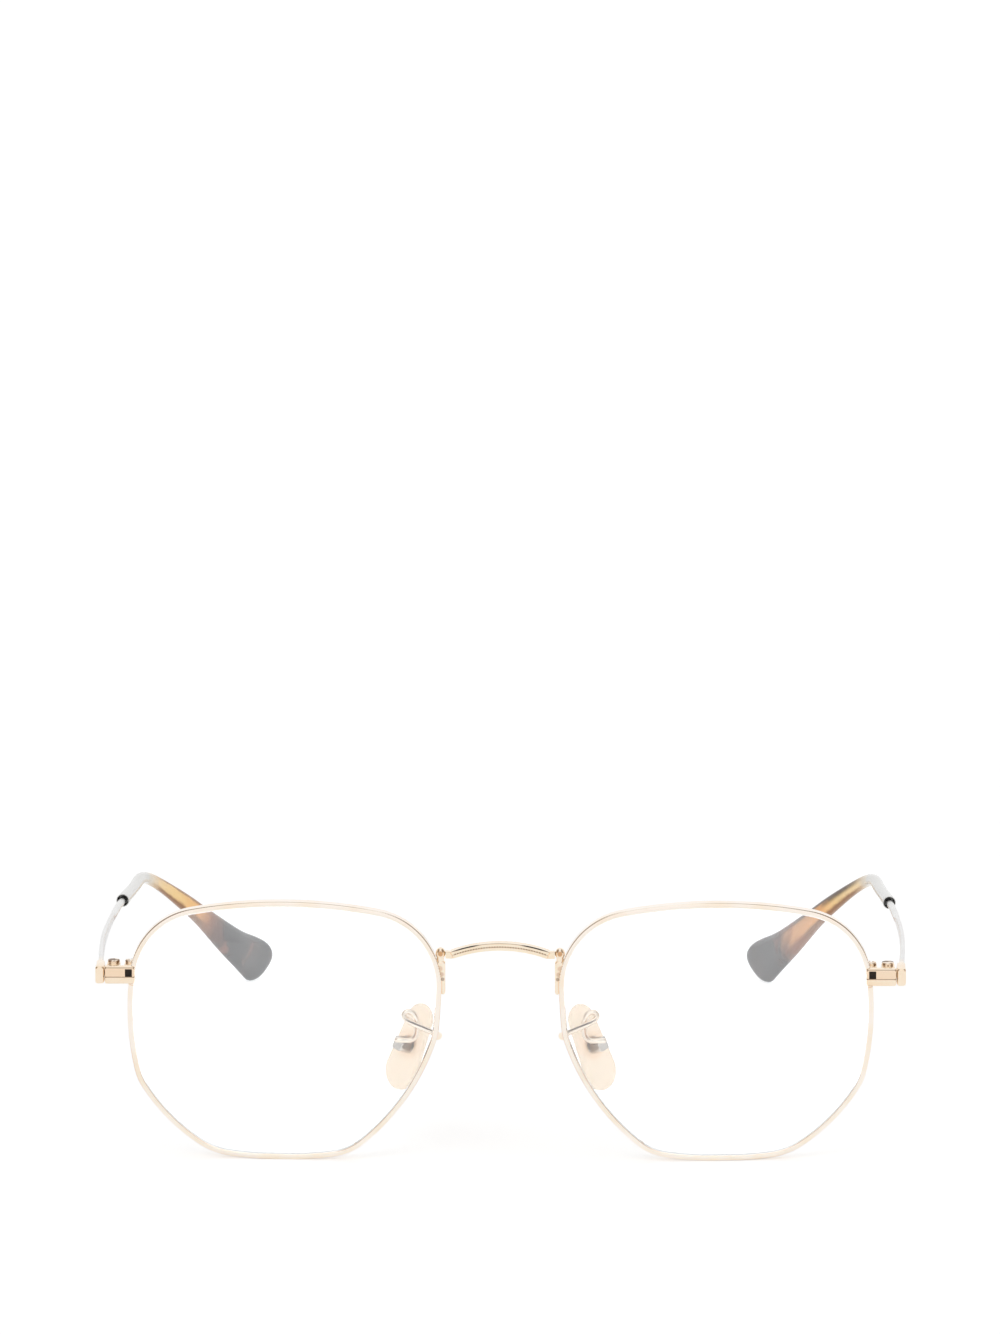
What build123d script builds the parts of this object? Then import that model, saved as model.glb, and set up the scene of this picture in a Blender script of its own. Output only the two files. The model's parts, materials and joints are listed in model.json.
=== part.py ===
from build123d import *
from math import cos, radians, sin, sqrt, tan
import os

# Hexagonal metal eyeglasses, open for wear, standing on the rims and the temple tips.
# The front faces -Y and the temples run back to +Y. Each side piece is made for +X and mirrored to -X.
# All lengths are millimetres and all angles are degrees.

# Lenses
lens_width = 51.0
lens_height = 43.1
lens_gap = 21.0
lens_thickness = 1.3
base_curve_radius = 132.0
face_form_angle = 3.0
# Corners of the lens: towards the nose, upwards, bulge of the side that follows, corner radius
lens_corner_shares = [
    (1.010, 0.797, 0.157, 0.49),
    (-0.913, 0.823, 0.076, 0.49),
    (-0.950, -0.402, 0.048, 0.31),
    (-0.462, -0.967, 0.034, 0.45),
    (0.413, -0.959, 0.080, 0.36),
    (0.985, -0.015, 0.010, 0.35),
]

# Rims: wire of the eye, measured outside and inside the lens's edge
rim_web = 0.6
rim_lip = 0.25
rim_depth = 2.0
rim_edge_radius = 0.25
groove_width = 0.8
seat_clearance = 0.02

# Bridge and its feet beside the rims
bridge_neck_height = 1.2
bridge_neck_depth = 1.4
bridge_band_height = 1.3
bridge_band_depth = 1.95
bridge_band_width = 16.4
bridge_rise = 1.75
bridge_bow = 1.2
foot_half_gap = 9.1
foot_rise = 1.2
foot_reach = 2.4
foot_depth = 1.7
foot_setback = 0.1
foot_corner_radius = 0.9
# Heights of the neck and of the feet's lower ends above the lens's middle, as shares of half its height
bridge_neck_place_share = 0.6056
foot_bottom_place_share = 0.29

# Endpieces
endpiece_z = 31.1
endpiece_height = 3.0
endpiece_width = 5.0
endpiece_thickness = 1.5
endpiece_lap = 0.9
endpiece_proud = 0.35
endpiece_edge_radius = 0.5

# Rim locks: two blocks and a screw that close the split rim behind the endpiece
lock_width = 1.8
lock_depth = 1.9
lock_upper_height = 1.4
lock_lower_height = 1.4
lock_gap = 0.2
lock_edge_radius = 0.25
lock_screw_radius = 0.5
lock_head_radius = 0.85
lock_head_height = 0.45
lock_setback = 0.9

# Hinges
hinge_setback = 1.7
hinge_inset = 1.35
barrel_radius = 1.15
barrel_gap = 0.05
leaf_width = 2.2
hinge_screw_radius = 0.6
hinge_running_clearance = 0.04
hinge_head_radius = 1.0
hinge_head_height = 0.5
driver_slot_width = 0.3
driver_slot_depth = 0.25

# Temples: butt block, strip, round wire and the tip round its core
butt_gap = 0.1
butt_thickness = 1.5
butt_length = 5.5
butt_edge_radius = 0.4
temple_reach = 125.7
temple_inset = 22.05
temple_drop = 28.84
strip_thickness = 0.8
strip_height = 2.8
wire_diameter = 1.25
core_diameter = 1.0
tip_mouth_diameter = 2.3
tip_mouth_bore = 1.85
tip_mouth_depth = 1.2
tip_thickness = 2.4
tip_neck_width = 2.1
tip_end_width = 8.3
# Centre line of a temple from the hinge: backwards, inwards and downwards, each as a share of the length above
temple_line_shares = [
    (0.0, 0.0, 0.0),
    (0.197, -0.061, 0.0405),
    (0.381, -0.075, 0.097),
    (0.579, -0.039, 0.151),
    (0.714, 0.014, 0.1875),
    (0.778, 0.071, 0.215),
    (0.832, 0.306, 0.388),
    (0.890, 0.569, 0.622),
    (0.937, 0.764, 0.797),
    (0.981, 0.914, 0.9275),
    (1.0, 1.0, 1.0),
]
# Steps of a rod between two of its stations
rod_steps = 3
# Along the centre line: strip thickness and height, as shares of the strip's own
strip_shares = [(0.012, 1.0, 0.96), (0.097, 1.0, 0.96), (0.194, 0.95, 0.84), (0.291, 0.95, 0.68), (0.374, 1.0, 0.55)]
# Along the centre line: stations of the round wire and of the thinner core inside the tip
wire_shares = [0.403, 0.437, 0.476, 0.515]
core_shares = [0.515, 0.56, 0.61, 0.65, 0.69, 0.73, 0.77, 0.81, 0.85, 0.885]
# Along the centre line: tip thickness as a share of its own, tip width between mouth, neck and end
tip_shares = [
    (0.510, 0.958, 0.0),
    (0.554, 0.917, 0.5),
    (0.612, 0.875, 1.0),
    (0.661, 0.875, 1.0),
    (0.700, 0.875, 1.0),
    (0.738, 0.875, 1.024),
    (0.787, 0.92, 1.145),
    (0.835, 0.96, 1.266),
    (0.884, 1.0, 1.50),
    (0.925, 1.0, 1.718),
    (0.955, 1.0, 1.911),
    (0.975, 0.98, 2.0),
    (0.989, 0.93, 1.903),
    (0.9965, 0.76, 1.55),
    (1.0, 0.34, 1.145),
]

# Nose pads, their studs, boxes, screws and arms
pad_x = 15.1
pad_setback = 9.2
pad_z = 18.2
pad_splay_angle = 45.0
pad_tilt_angle = 20.0
pad_thickness = 1.7
pad_edge_radius = 0.7
pad_top_radius = 2.7
pad_bottom_radius = 3.4
pad_centres_gap = 9.2
stud_disc_radius = 1.5
stud_disc_thickness = 0.5
tongue_thickness = 0.8
tongue_half_width = 0.65
tongue_clearance = 0.06
box_gap = 0.35
box_depth = 2.0
box_height = 2.2
box_wall = 0.5
pad_screw_radius = 0.4
pad_screw_clearance = 0.03
pad_head_radius = 0.7
pad_head_height = 0.4
arm_wire_diameter = 0.9
arm_foot_z = 21.0
arm_foot_radius = 0.6
arm_foot_thickness = 0.5
arm_rise = 3.9
arm_bend_radius = 0.85
# Most of a run that the arc at its end may take
bend_room_share = 0.45
# Route of the arm: across and back as shares of the way from foot to box, up as a share of the rise
arm_line_shares = [
    (0.10, 0.42, 0.05),
    (0.92, 0.78, 0.60),
    (0.82, 0.88, 0.97),
    (0.55, 0.84, 0.77),
    (0.54, 0.86, -0.40),
]

# Places worked out from the sizes above
half_lens_width = lens_width / 2
half_lens_height = lens_height / 2
lens_x = lens_gap / 2 + half_lens_width
lens_z = half_lens_height + rim_web
curve_centre = (lens_x - base_curve_radius * sin(radians(face_form_angle)), base_curve_radius, lens_z)
front_reach = half_lens_width
bridge_neck_z = lens_z + bridge_neck_place_share * half_lens_height
foot_bottom_z = lens_z + foot_bottom_place_share * half_lens_height
foot_top_z = bridge_neck_z + foot_rise


def front_y(x, z):
    """Depth of the rim's front at x, z: a sphere of the base curve."""
    across = x - curve_centre[0]
    up = z - curve_centre[2]
    return base_curve_radius - sqrt(base_curve_radius**2 - across**2 - up**2)


def side_circle(start, end, bulge):
    """Centre and radius of the arc that bulges outwards between two corners of the lens."""
    chord = end - start
    radius = chord.length**2 / (8 * bulge) + bulge / 2
    outwards = chord.cross(Vector(0, 0, 1)).normalized()
    if outwards.dot(start + end - lens_middle * 2) < 0:
        outwards = -outwards
    return (start + end) / 2 - outwards * (radius - bulge), radius


def round_centre(before, after, corner, radius):
    """Centre of the circle that touches two side circles from inside, near their corner."""
    (first, first_radius), (second, second_radius) = before, after
    apart = second - first
    reach, other_reach = first_radius - radius, second_radius - radius
    along = (reach**2 - other_reach**2 + apart.length**2) / (2 * apart.length)
    height = sqrt(reach**2 - along**2)
    foot = first + apart.normalized() * along
    sideways = apart.normalized().cross(Vector(0, 0, 1)) * height
    return min(foot + sideways, foot - sideways, key=lambda centre: (centre - corner).length)


lens_middle = Vector(lens_x, lens_z)
lens_corners = [
    Vector(lens_x - nasal * half_lens_width, lens_z + up * half_lens_height)
    for nasal, up, bulge, radius in lens_corner_shares
]
lens_sides = [
    side_circle(lens_corners[i], lens_corners[(i + 1) % len(lens_corners)], bulge * half_lens_width)
    for i, (nasal, up, bulge, radius) in enumerate(lens_corner_shares)
]
lens_rounds = [
    round_centre(lens_sides[i - 1], lens_sides[i], lens_corners[i], radius * half_lens_width)
    for i, (nasal, up, bulge, radius) in enumerate(lens_corner_shares)
]


def arc_about(centre, start, end):
    """Arc from start to end about a centre, the short way round."""
    towards = ((start + end) / 2 - centre).normalized()
    ThreePointArc(start, centre + towards * (start - centre).length, end)


def lens_face(grow):
    """Front view of the lens: six bulged sides and six round corners, enlarged by grow, flat at the bottom."""
    count = len(lens_sides)
    starts = []
    ends = []
    for i in range(count):
        side, radius = lens_sides[i]
        starts.append(side + (lens_rounds[i] - side).normalized() * (radius + grow))
        ends.append(side + (lens_rounds[(i + 1) % count] - side).normalized() * (radius + grow))
    with BuildSketch(Plane.XZ) as face:
        with BuildLine():
            for i in range(count):
                arc_about(lens_rounds[i], ends[i - 1], starts[i])
                arc_about(lens_sides[i][0], starts[i], ends[i])
        make_face()
        with Locations((lens_x, lens_z - half_lens_height - grow)):
            Rectangle(lens_width * 2, lens_height * 2, align=(Align.CENTER, Align.MIN), mode=Mode.INTERSECT)
    return face.sketch_local


def lens_prism(grow):
    """The lens's front view carried straight forwards and back."""
    with BuildPart() as prism:
        with BuildSketch(Plane.XZ):
            add(lens_face(grow))
        extrude(amount=front_reach, both=True)
    return prism.part


def front_slab(grow, front_depth, back_depth):
    """The stretch of the prism between two spheres of the base curve."""
    with BuildPart() as slab:
        add(lens_prism(grow))
        with Locations(curve_centre):
            Sphere(base_curve_radius - front_depth, mode=Mode.INTERSECT)
            Sphere(base_curve_radius - back_depth, mode=Mode.SUBTRACT)
    return slab.part


def block(low, high):
    """Box between two corners, for use inside a part."""
    middle = tuple((a + b) / 2 for a, b in zip(low, high))
    size = [b - a for a, b in zip(low, high)]
    with Locations(middle):
        Box(*size)


rim_envelope = front_slab(rim_web, 0, rim_depth)
groove_front = (rim_depth - groove_width) / 2
groove_back = (rim_depth + groove_width) / 2
lens_front = (rim_depth - lens_thickness) / 2
lens_back = (rim_depth + lens_thickness) / 2

# Where the rim's outer side meets the endpiece and the lock
level_cut = rim_envelope.intersect(Plane.XY.offset(endpiece_z) * Rectangle(lens_width * 4, lens_width * 4))
temporal_edge = max(face.bounding_box().max.X for face in level_cut.faces())
lock_split_z = endpiece_z
endpiece_inner_x = temporal_edge - endpiece_lap
endpiece_outer_x = endpiece_inner_x + endpiece_width
endpiece_y = front_y(endpiece_inner_x, endpiece_z) - endpiece_proud
endpiece_back_y = endpiece_y + endpiece_thickness
hinge_x = endpiece_outer_x - hinge_inset
hinge_y = endpiece_back_y + hinge_setback
lock_x = temporal_edge
lock_screw_y = front_y(lock_x, endpiece_z) + rim_depth + lock_setback

# Rim
with BuildPart() as rim:
    add(rim_envelope)
    add(lens_prism(-rim_lip), mode=Mode.SUBTRACT)
    skins = rim.faces().filter_by(GeomType.SPHERE)
    fillet(skins.edges(), rim_edge_radius)
    add(front_slab(seat_clearance, groove_front, groove_back), mode=Mode.SUBTRACT)
    with Locations((temporal_edge, front_reach / 2, lock_split_z)):
        Box(half_lens_width, front_reach, lock_gap, mode=Mode.SUBTRACT)

# Lens
with BuildPart() as lens:
    add(front_slab(-rim_lip - seat_clearance, lens_front, lens_back))
    add(front_slab(0, groove_front + seat_clearance, groove_back - seat_clearance))

# Foot of the bridge
foot_y = front_y(foot_half_gap, foot_bottom_z) + foot_setback
with BuildPart() as bridge_foot:
    with BuildSketch(Plane.XZ.offset(-foot_y)) as foot_view:
        with Locations((foot_half_gap, foot_bottom_z)):
            Rectangle(foot_reach, foot_top_z - foot_bottom_z, align=(Align.MIN, Align.MIN))
        fillet(foot_view.vertices().group_by(Axis.Y)[-1], foot_corner_radius)
    extrude(amount=-foot_depth)
    add(lens_prism(rim_web), mode=Mode.SUBTRACT)

# Bridge: arched strip, bowed forwards in plan, thicker in its engraved middle
arch_start = bridge_band_width / 2
bow_radius = foot_half_gap**2 / (2 * bridge_bow) + bridge_bow / 2
bridge_y = foot_y + (foot_depth - bridge_neck_depth) / 2
bow_centre_y = bridge_y - bridge_bow + bow_radius


def bridge_piece(line, height, depth):
    """A strip along a line of the front view, kept between two upright cylinders that bow forwards."""
    with BuildPart() as piece:
        with BuildSketch(Plane.XZ):
            trace(line, height)
        extrude(amount=front_reach, both=True)
        slack = (depth - bridge_neck_depth) / 2
        with Locations((0, bow_centre_y, bridge_neck_z)):
            Cylinder(bow_radius + slack, foot_half_gap * 2, mode=Mode.INTERSECT)
            Cylinder(bow_radius + slack - depth, foot_half_gap * 2, mode=Mode.SUBTRACT)
        split(bisect_by=Plane.XZ.offset(-bow_centre_y), keep=Keep.TOP)
    return piece.part


with BuildLine() as arch_line:
    ThreePointArc(
        (-arch_start, bridge_neck_z), (0, bridge_neck_z + bridge_rise), (arch_start, bridge_neck_z)
    )
with BuildLine() as neck_line:
    Line((-foot_half_gap, bridge_neck_z), (-arch_start, bridge_neck_z))
    add(arch_line.line)
    Line((arch_start, bridge_neck_z), (foot_half_gap, bridge_neck_z))
with BuildPart() as bridge:
    add(bridge_piece(neck_line.line, bridge_neck_height, bridge_neck_depth))
    add(bridge_piece(arch_line.line, bridge_band_height, bridge_band_depth))

# Endpiece
half_endpiece = endpiece_height / 2
with BuildPart() as endpiece:
    block(
        (endpiece_inner_x, endpiece_y, endpiece_z - half_endpiece),
        (endpiece_outer_x, endpiece_back_y, endpiece_z + half_endpiece),
    )
    fillet(endpiece.faces().sort_by(Axis.Y)[0].edges(), endpiece_edge_radius)
    add(rim_envelope, mode=Mode.SUBTRACT)

# Rim lock
lock_front_y = lock_screw_y - lock_depth
lock_back_y = lock_screw_y + lock_depth / 2
with BuildPart() as rim_lock_upper:
    block(
        (lock_x - lock_width / 2, lock_front_y, lock_split_z + lock_gap / 2),
        (lock_x + lock_width / 2, lock_back_y, lock_split_z + lock_gap / 2 + lock_upper_height),
    )
    fillet(rim_lock_upper.faces().sort_by(Axis.Y)[-1].edges(), lock_edge_radius)
    add(rim_envelope, mode=Mode.SUBTRACT)
    with Locations((lock_x, lock_screw_y, lock_split_z)):
        Cylinder(lock_screw_radius + seat_clearance, lock_upper_height * 4, mode=Mode.SUBTRACT)
with BuildPart() as rim_lock_lower:
    block(
        (lock_x - lock_width / 2, lock_front_y, lock_split_z - lock_gap / 2 - lock_lower_height),
        (lock_x + lock_width / 2, lock_back_y, lock_split_z - lock_gap / 2),
    )
    fillet(rim_lock_lower.faces().sort_by(Axis.Y)[-1].edges(), lock_edge_radius)
    add(rim_envelope, mode=Mode.SUBTRACT)
    with Locations((lock_x, lock_screw_y, lock_split_z)):
        Cylinder(lock_screw_radius + seat_clearance, lock_lower_height * 4, mode=Mode.SUBTRACT)
lock_top_z = lock_split_z + lock_gap / 2 + lock_upper_height
lock_bottom_z = lock_split_z - lock_gap / 2 - lock_lower_height
with BuildPart() as rim_lock_screw:
    with BuildSketch(Plane.XY.offset(lock_bottom_z)):
        with Locations((lock_x, lock_screw_y)):
            Circle(lock_screw_radius)
    extrude(amount=lock_top_z - lock_bottom_z)
    with BuildSketch(Plane.XY.offset(lock_top_z)):
        with Locations((lock_x, lock_screw_y)):
            Circle(lock_head_radius)
    extrude(amount=lock_head_height)
    fillet(rim_lock_screw.faces().sort_by(Axis.Z)[-1].edges(), lock_head_height / 2)
    with Locations((lock_x, lock_screw_y, lock_top_z + lock_head_height)):
        Box(driver_slot_width, lock_head_radius * 3, driver_slot_depth * 2, mode=Mode.SUBTRACT)

# Hinge: two barrels on the front leaf, one on the temple leaf, and the screw through them
leaf_bottom_z = endpiece_z - half_endpiece
leaf_top_z = endpiece_z + half_endpiece
barrel_height = endpiece_height / 3
middle_bottom_z = leaf_bottom_z + barrel_height
leaf_outer_x = hinge_x + leaf_width / 2
leaf_inner_x = hinge_x - leaf_width / 2
with BuildPart() as front_hinge_leaf:
    block((leaf_inner_x, endpiece_back_y, leaf_bottom_z), (leaf_outer_x, hinge_y, leaf_top_z))
    with Locations((hinge_x, hinge_y, endpiece_z)):
        Cylinder(barrel_radius, endpiece_height)
        Cylinder(barrel_radius + barrel_gap, barrel_height + 2 * barrel_gap, mode=Mode.SUBTRACT)
        Cylinder(hinge_screw_radius, endpiece_height * 2, mode=Mode.SUBTRACT)
    middle_low = endpiece_z - barrel_height / 2 - barrel_gap
    with Locations((hinge_x, hinge_y, endpiece_z)):
        Box(
            leaf_width * 2,
            barrel_radius,
            barrel_height + 2 * barrel_gap,
            align=(Align.CENTER, Align.MAX, Align.CENTER),
            mode=Mode.SUBTRACT,
        )
butt_inner_x = endpiece_outer_x + butt_gap
butt_outer_x = butt_inner_x + butt_thickness
arm_half_depth = barrel_radius * sin(radians(45))
with BuildPart() as temple_hinge_leaf:
    with Locations((hinge_x, hinge_y, endpiece_z)):
        Cylinder(barrel_radius, barrel_height)
    block(
        (hinge_x, hinge_y - arm_half_depth, endpiece_z - barrel_height / 2),
        (butt_inner_x, hinge_y + arm_half_depth, endpiece_z + barrel_height / 2),
    )
    with Locations((hinge_x, hinge_y, endpiece_z)):
        Cylinder(hinge_screw_radius + hinge_running_clearance, endpiece_height, mode=Mode.SUBTRACT)
with BuildPart() as hinge_screw:
    with BuildSketch(Plane.XY.offset(leaf_bottom_z)):
        with Locations((hinge_x, hinge_y)):
            Circle(hinge_screw_radius)
    extrude(amount=endpiece_height)
    with BuildSketch(Plane.XY.offset(leaf_top_z)):
        with Locations((hinge_x, hinge_y)):
            Circle(hinge_head_radius)
    extrude(amount=hinge_head_height)
    fillet(hinge_screw.faces().sort_by(Axis.Z)[-1].edges(), hinge_head_height / 3)
    with Locations((hinge_x, hinge_y, leaf_top_z + hinge_head_height)):
        Box(hinge_head_radius * 3, driver_slot_width, driver_slot_depth * 2, mode=Mode.SUBTRACT)

# Temple: the centre line, and planes across it whose Y lies in the upright plane of the line
temple_x = (butt_inner_x + butt_outer_x) / 2
temple_points = [
    (temple_x - inward * temple_inset, hinge_y + back * temple_reach, endpiece_z - down * temple_drop)
    for back, inward, down in temple_line_shares
]
with BuildLine():
    temple_line = Spline(*temple_points)
temple_length = temple_line.length


def temple_plane(share):
    """Plane across the temple at a share of its length, with X level and Y in the line's upright plane."""
    centre = temple_line.position_at(share * temple_length, position_mode=PositionMode.LENGTH)
    along = temple_line.tangent_at(share * temple_length, position_mode=PositionMode.LENGTH)
    level = along.cross(Vector(0, 0, 1)).normalized()
    return Plane(origin=centre, x_dir=level, z_dir=along)


def oval_rod(stations):
    """Rod through ovals across the centre line: share along it, thickness and height, in even steps between."""
    steps = [stations[0]]
    for before, after in zip(stations, stations[1:]):
        for i in range(1, rod_steps + 1):
            steps.append([start + (end - start) * i / rod_steps for start, end in zip(before, after)])
    with BuildPart() as rod:
        for share, thickness, height in steps:
            with BuildSketch(temple_plane(share)):
                Ellipse(thickness / 2, height / 2)
        loft(ruled=True)
    return rod.part


strip_stations = [
    (share, strip_thickness * thickness, strip_height * height) for share, thickness, height in strip_shares
]
strip_stations.append((wire_shares[0], wire_diameter, wire_diameter))
with BuildPart() as temple_bar:
    block(
        (butt_inner_x, endpiece_y + butt_gap, endpiece_z - half_endpiece),
        (butt_outer_x, endpiece_y + butt_gap + butt_length, endpiece_z + half_endpiece),
    )
    fillet(temple_bar.faces().sort_by(Axis.X)[-1].edges(), butt_edge_radius)
    add(oval_rod(strip_stations))
    add(oval_rod([(share, wire_diameter, wire_diameter) for share in wire_shares]))
    add(oval_rod([(share, core_diameter, core_diameter) for share in core_shares]))


def tip_width(step):
    """Width of the tip: step 0 is the mouth, 1 the neck and 2 the end."""
    if step < 1:
        return tip_mouth_diameter + step * (tip_neck_width - tip_mouth_diameter)
    return tip_neck_width + (step - 1) * (tip_end_width - tip_neck_width)


with BuildPart() as temple_tip:
    add(oval_rod([(share, tip_thickness * thickness, tip_width(step)) for share, thickness, step in tip_shares]))
    with BuildSketch(temple_plane(tip_shares[0][0])):
        Circle(tip_mouth_bore / 2)
    extrude(amount=tip_mouth_depth, mode=Mode.SUBTRACT)
    add(temple_bar.part, mode=Mode.SUBTRACT)

# Nose pad: its plane has X back across the pad, Y along it and Z towards the nose
pad_level = Vector(sin(radians(pad_splay_angle)), cos(radians(pad_splay_angle)), 0)
pad_normal = Vector(-cos(radians(pad_splay_angle)), sin(radians(pad_splay_angle)), 0)
pad_level = pad_level.rotate(Axis.Y, -pad_tilt_angle)
pad_normal = pad_normal.rotate(Axis.Y, -pad_tilt_angle)
pad_centre = Vector(pad_x, pad_setback, pad_z)
pad_plane = Plane(origin=pad_centre, x_dir=pad_level, z_dir=pad_normal)
pad_back = -pad_thickness / 2
box_far = pad_back - box_gap - box_depth
screw_depth = box_far + box_wall + tongue_clearance + tongue_half_width
box_width = tongue_thickness + 2 * tongue_clearance + 2 * box_wall
screw_centre = pad_plane.from_local_coords(Vector(0, 0, screw_depth))
screw_plane = Plane(origin=screw_centre, x_dir=pad_plane.y_dir, z_dir=pad_plane.x_dir)
up_sign = 1 if pad_plane.y_dir.Z > 0 else -1
with BuildPart() as nose_pad:
    with BuildSketch(pad_plane.offset(pad_back)):
        with Locations((0, up_sign * pad_centres_gap / 2)):
            Circle(pad_top_radius)
        with Locations((0, -up_sign * pad_centres_gap / 2)):
            Circle(pad_bottom_radius)
        make_hull()
    extrude(amount=pad_thickness)
    fillet(nose_pad.edges(), pad_edge_radius)
    with BuildSketch(pad_plane.offset(pad_back)):
        Circle(stud_disc_radius + seat_clearance)
    extrude(amount=stud_disc_thickness, mode=Mode.SUBTRACT)
with BuildPart() as pad_stud:
    with BuildSketch(pad_plane.offset(pad_back)):
        Circle(stud_disc_radius)
    extrude(amount=stud_disc_thickness)
    with BuildSketch(screw_plane.offset(-tongue_thickness / 2)) as tongue_view:
        Circle(tongue_half_width)
        Rectangle(
            tongue_half_width * 2,
            pad_back - screw_depth,
            align=(Align.CENTER, Align.MIN),
        )
    extrude(amount=tongue_thickness)
    with Locations(screw_plane):
        Cylinder(pad_screw_radius + pad_screw_clearance, box_width * 2, mode=Mode.SUBTRACT)
with BuildPart() as pad_box:
    with BuildSketch(pad_plane.offset(box_far)):
        RectangleRounded(box_width, box_height, box_wall / 2)
    extrude(amount=box_depth)
    with BuildSketch(pad_plane.offset(box_far + box_wall)):
        Rectangle(tongue_thickness + 2 * tongue_clearance, box_height * 2)
    extrude(amount=box_depth, mode=Mode.SUBTRACT)
    with Locations(screw_plane):
        Cylinder(pad_screw_radius, box_width * 2, mode=Mode.SUBTRACT)
with BuildPart() as pad_screw:
    with BuildSketch(screw_plane.offset(-box_width / 2)):
        Circle(pad_screw_radius)
    extrude(amount=box_width)
    with BuildSketch(screw_plane.offset(-box_width / 2)):
        Circle(pad_head_radius)
    extrude(amount=-pad_head_height)
    with BuildSketch(screw_plane.offset(-box_width / 2 - pad_head_height)):
        Rectangle(driver_slot_width, pad_head_radius * 3)
    extrude(amount=driver_slot_depth, mode=Mode.SUBTRACT)

# Pad arm: a wire of straight runs and arcs from a foot on the rim's back to the far wall of the box
arm_foot_x = lens_gap / 2 - rim_web + (rim_web + rim_lip) / 2
arm_foot_y = front_y(arm_foot_x, arm_foot_z) + rim_depth
arm_end = pad_plane.from_local_coords(Vector(0, up_sign * box_height / 4, box_far))
arm_last = arm_end - pad_normal * arm_wire_diameter
arm_start = Vector(arm_foot_x, arm_foot_y, arm_foot_z)
arm_span = arm_end - arm_start
arm_points = [arm_start]
for across, back, up in arm_line_shares:
    arm_points.append(arm_start + Vector(across * arm_span.X, back * arm_span.Y, up * arm_rise))
arm_points.append(arm_last)
arm_points.append(arm_end)


def bend_radii(points):
    """Radius at each corner of a wire: the wire's own bend, or what the shorter run beside it leaves room for."""
    radii = []
    for before, corner, after in zip(points, points[1:], points[2:]):
        run_in = corner - before
        run_out = after - corner
        half_turn = radians(run_in.get_angle(run_out)) / 2
        room = bend_room_share * min(run_in.length, run_out.length) / tan(half_turn)
        radii.append(min(arm_bend_radius, room))
    return radii


with BuildPart() as pad_arm:
    with BuildLine():
        arm_line = FilletPolyline(*arm_points, radius=bend_radii(arm_points))
    arm_direction = arm_line.tangent_at(0)
    with BuildSketch(Plane(origin=arm_start, z_dir=arm_direction)):
        Circle(arm_wire_diameter / 2)
    sweep()
    with BuildSketch(Plane.XZ.offset(-arm_foot_y - arm_foot_thickness)):
        with Locations((arm_foot_x, arm_foot_z)):
            Circle(arm_foot_radius)
    extrude(amount=arm_foot_thickness * 2)
    add(rim_envelope, mode=Mode.SUBTRACT)
    add(pad_box.part, mode=Mode.SUBTRACT)

side_parts = {
    "rim": rim.part,
    "lens": lens.part,
    "bridge_foot": bridge_foot.part,
    "endpiece": endpiece.part,
    "rim_lock_upper": rim_lock_upper.part,
    "rim_lock_lower": rim_lock_lower.part,
    "rim_lock_screw": rim_lock_screw.part,
    "front_hinge_leaf": front_hinge_leaf.part,
    "hinge_screw": hinge_screw.part,
    "temple_hinge_leaf": temple_hinge_leaf.part,
    "temple_bar": temple_bar.part,
    "temple_tip": temple_tip.part,
    "nose_pad": nose_pad.part,
    "pad_stud": pad_stud.part,
    "pad_box": pad_box.part,
    "pad_screw": pad_screw.part,
    "pad_arm": pad_arm.part,
}
pieces = {"bridge": bridge.part}
for name, part in side_parts.items():
    pieces["right_" + name] = part
    pieces["left_" + name] = mirror(part, about=Plane.YZ)

# The origin is the middle of the whole object's box, on the surface that it stands on
whole = Compound(children=[Compound(part.solids()) for part in pieces.values()]).bounding_box()
origin = Vector((whole.min.X + whole.max.X) / 2, (whole.min.Y + whole.max.Y) / 2, whole.min.Z)
os.makedirs("parts", exist_ok=True)
for name, part in pieces.items():
    with BuildPart() as piece:
        add(part.moved(Location(-origin)))
    piece.part.label = name
    export_step(piece.part, "parts/" + name + ".step")


def shown(label, point):
    """Print a place in the row's frame, in metres."""
    moved = point - origin
    print(label, [round(value / 1000, 6) for value in (moved.X, moved.Y, moved.Z)])


print("box", whole.min, whole.max)
shown("hinge axis", Vector(hinge_x, hinge_y, endpiece_z))
shown("pad axis", screw_centre)
print("pad axis direction", [round(value, 6) for value in (pad_level.X, pad_level.Y, pad_level.Z)])
shown("rim rest", Vector(lens_x, front_y(lens_x, 0) + rim_depth / 2, 0))
shown("temple tip end", Vector(*temple_points[-1]))
print("temple tip lowest", round(temple_tip.part.bounding_box().min.Z, 4))
print("temple length", round(temple_length, 2))
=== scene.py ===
import json
from math import atan, cos, pi, radians, sin, sqrt

import bpy
import numpy as np
from mathutils import Matrix, Vector

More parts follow.
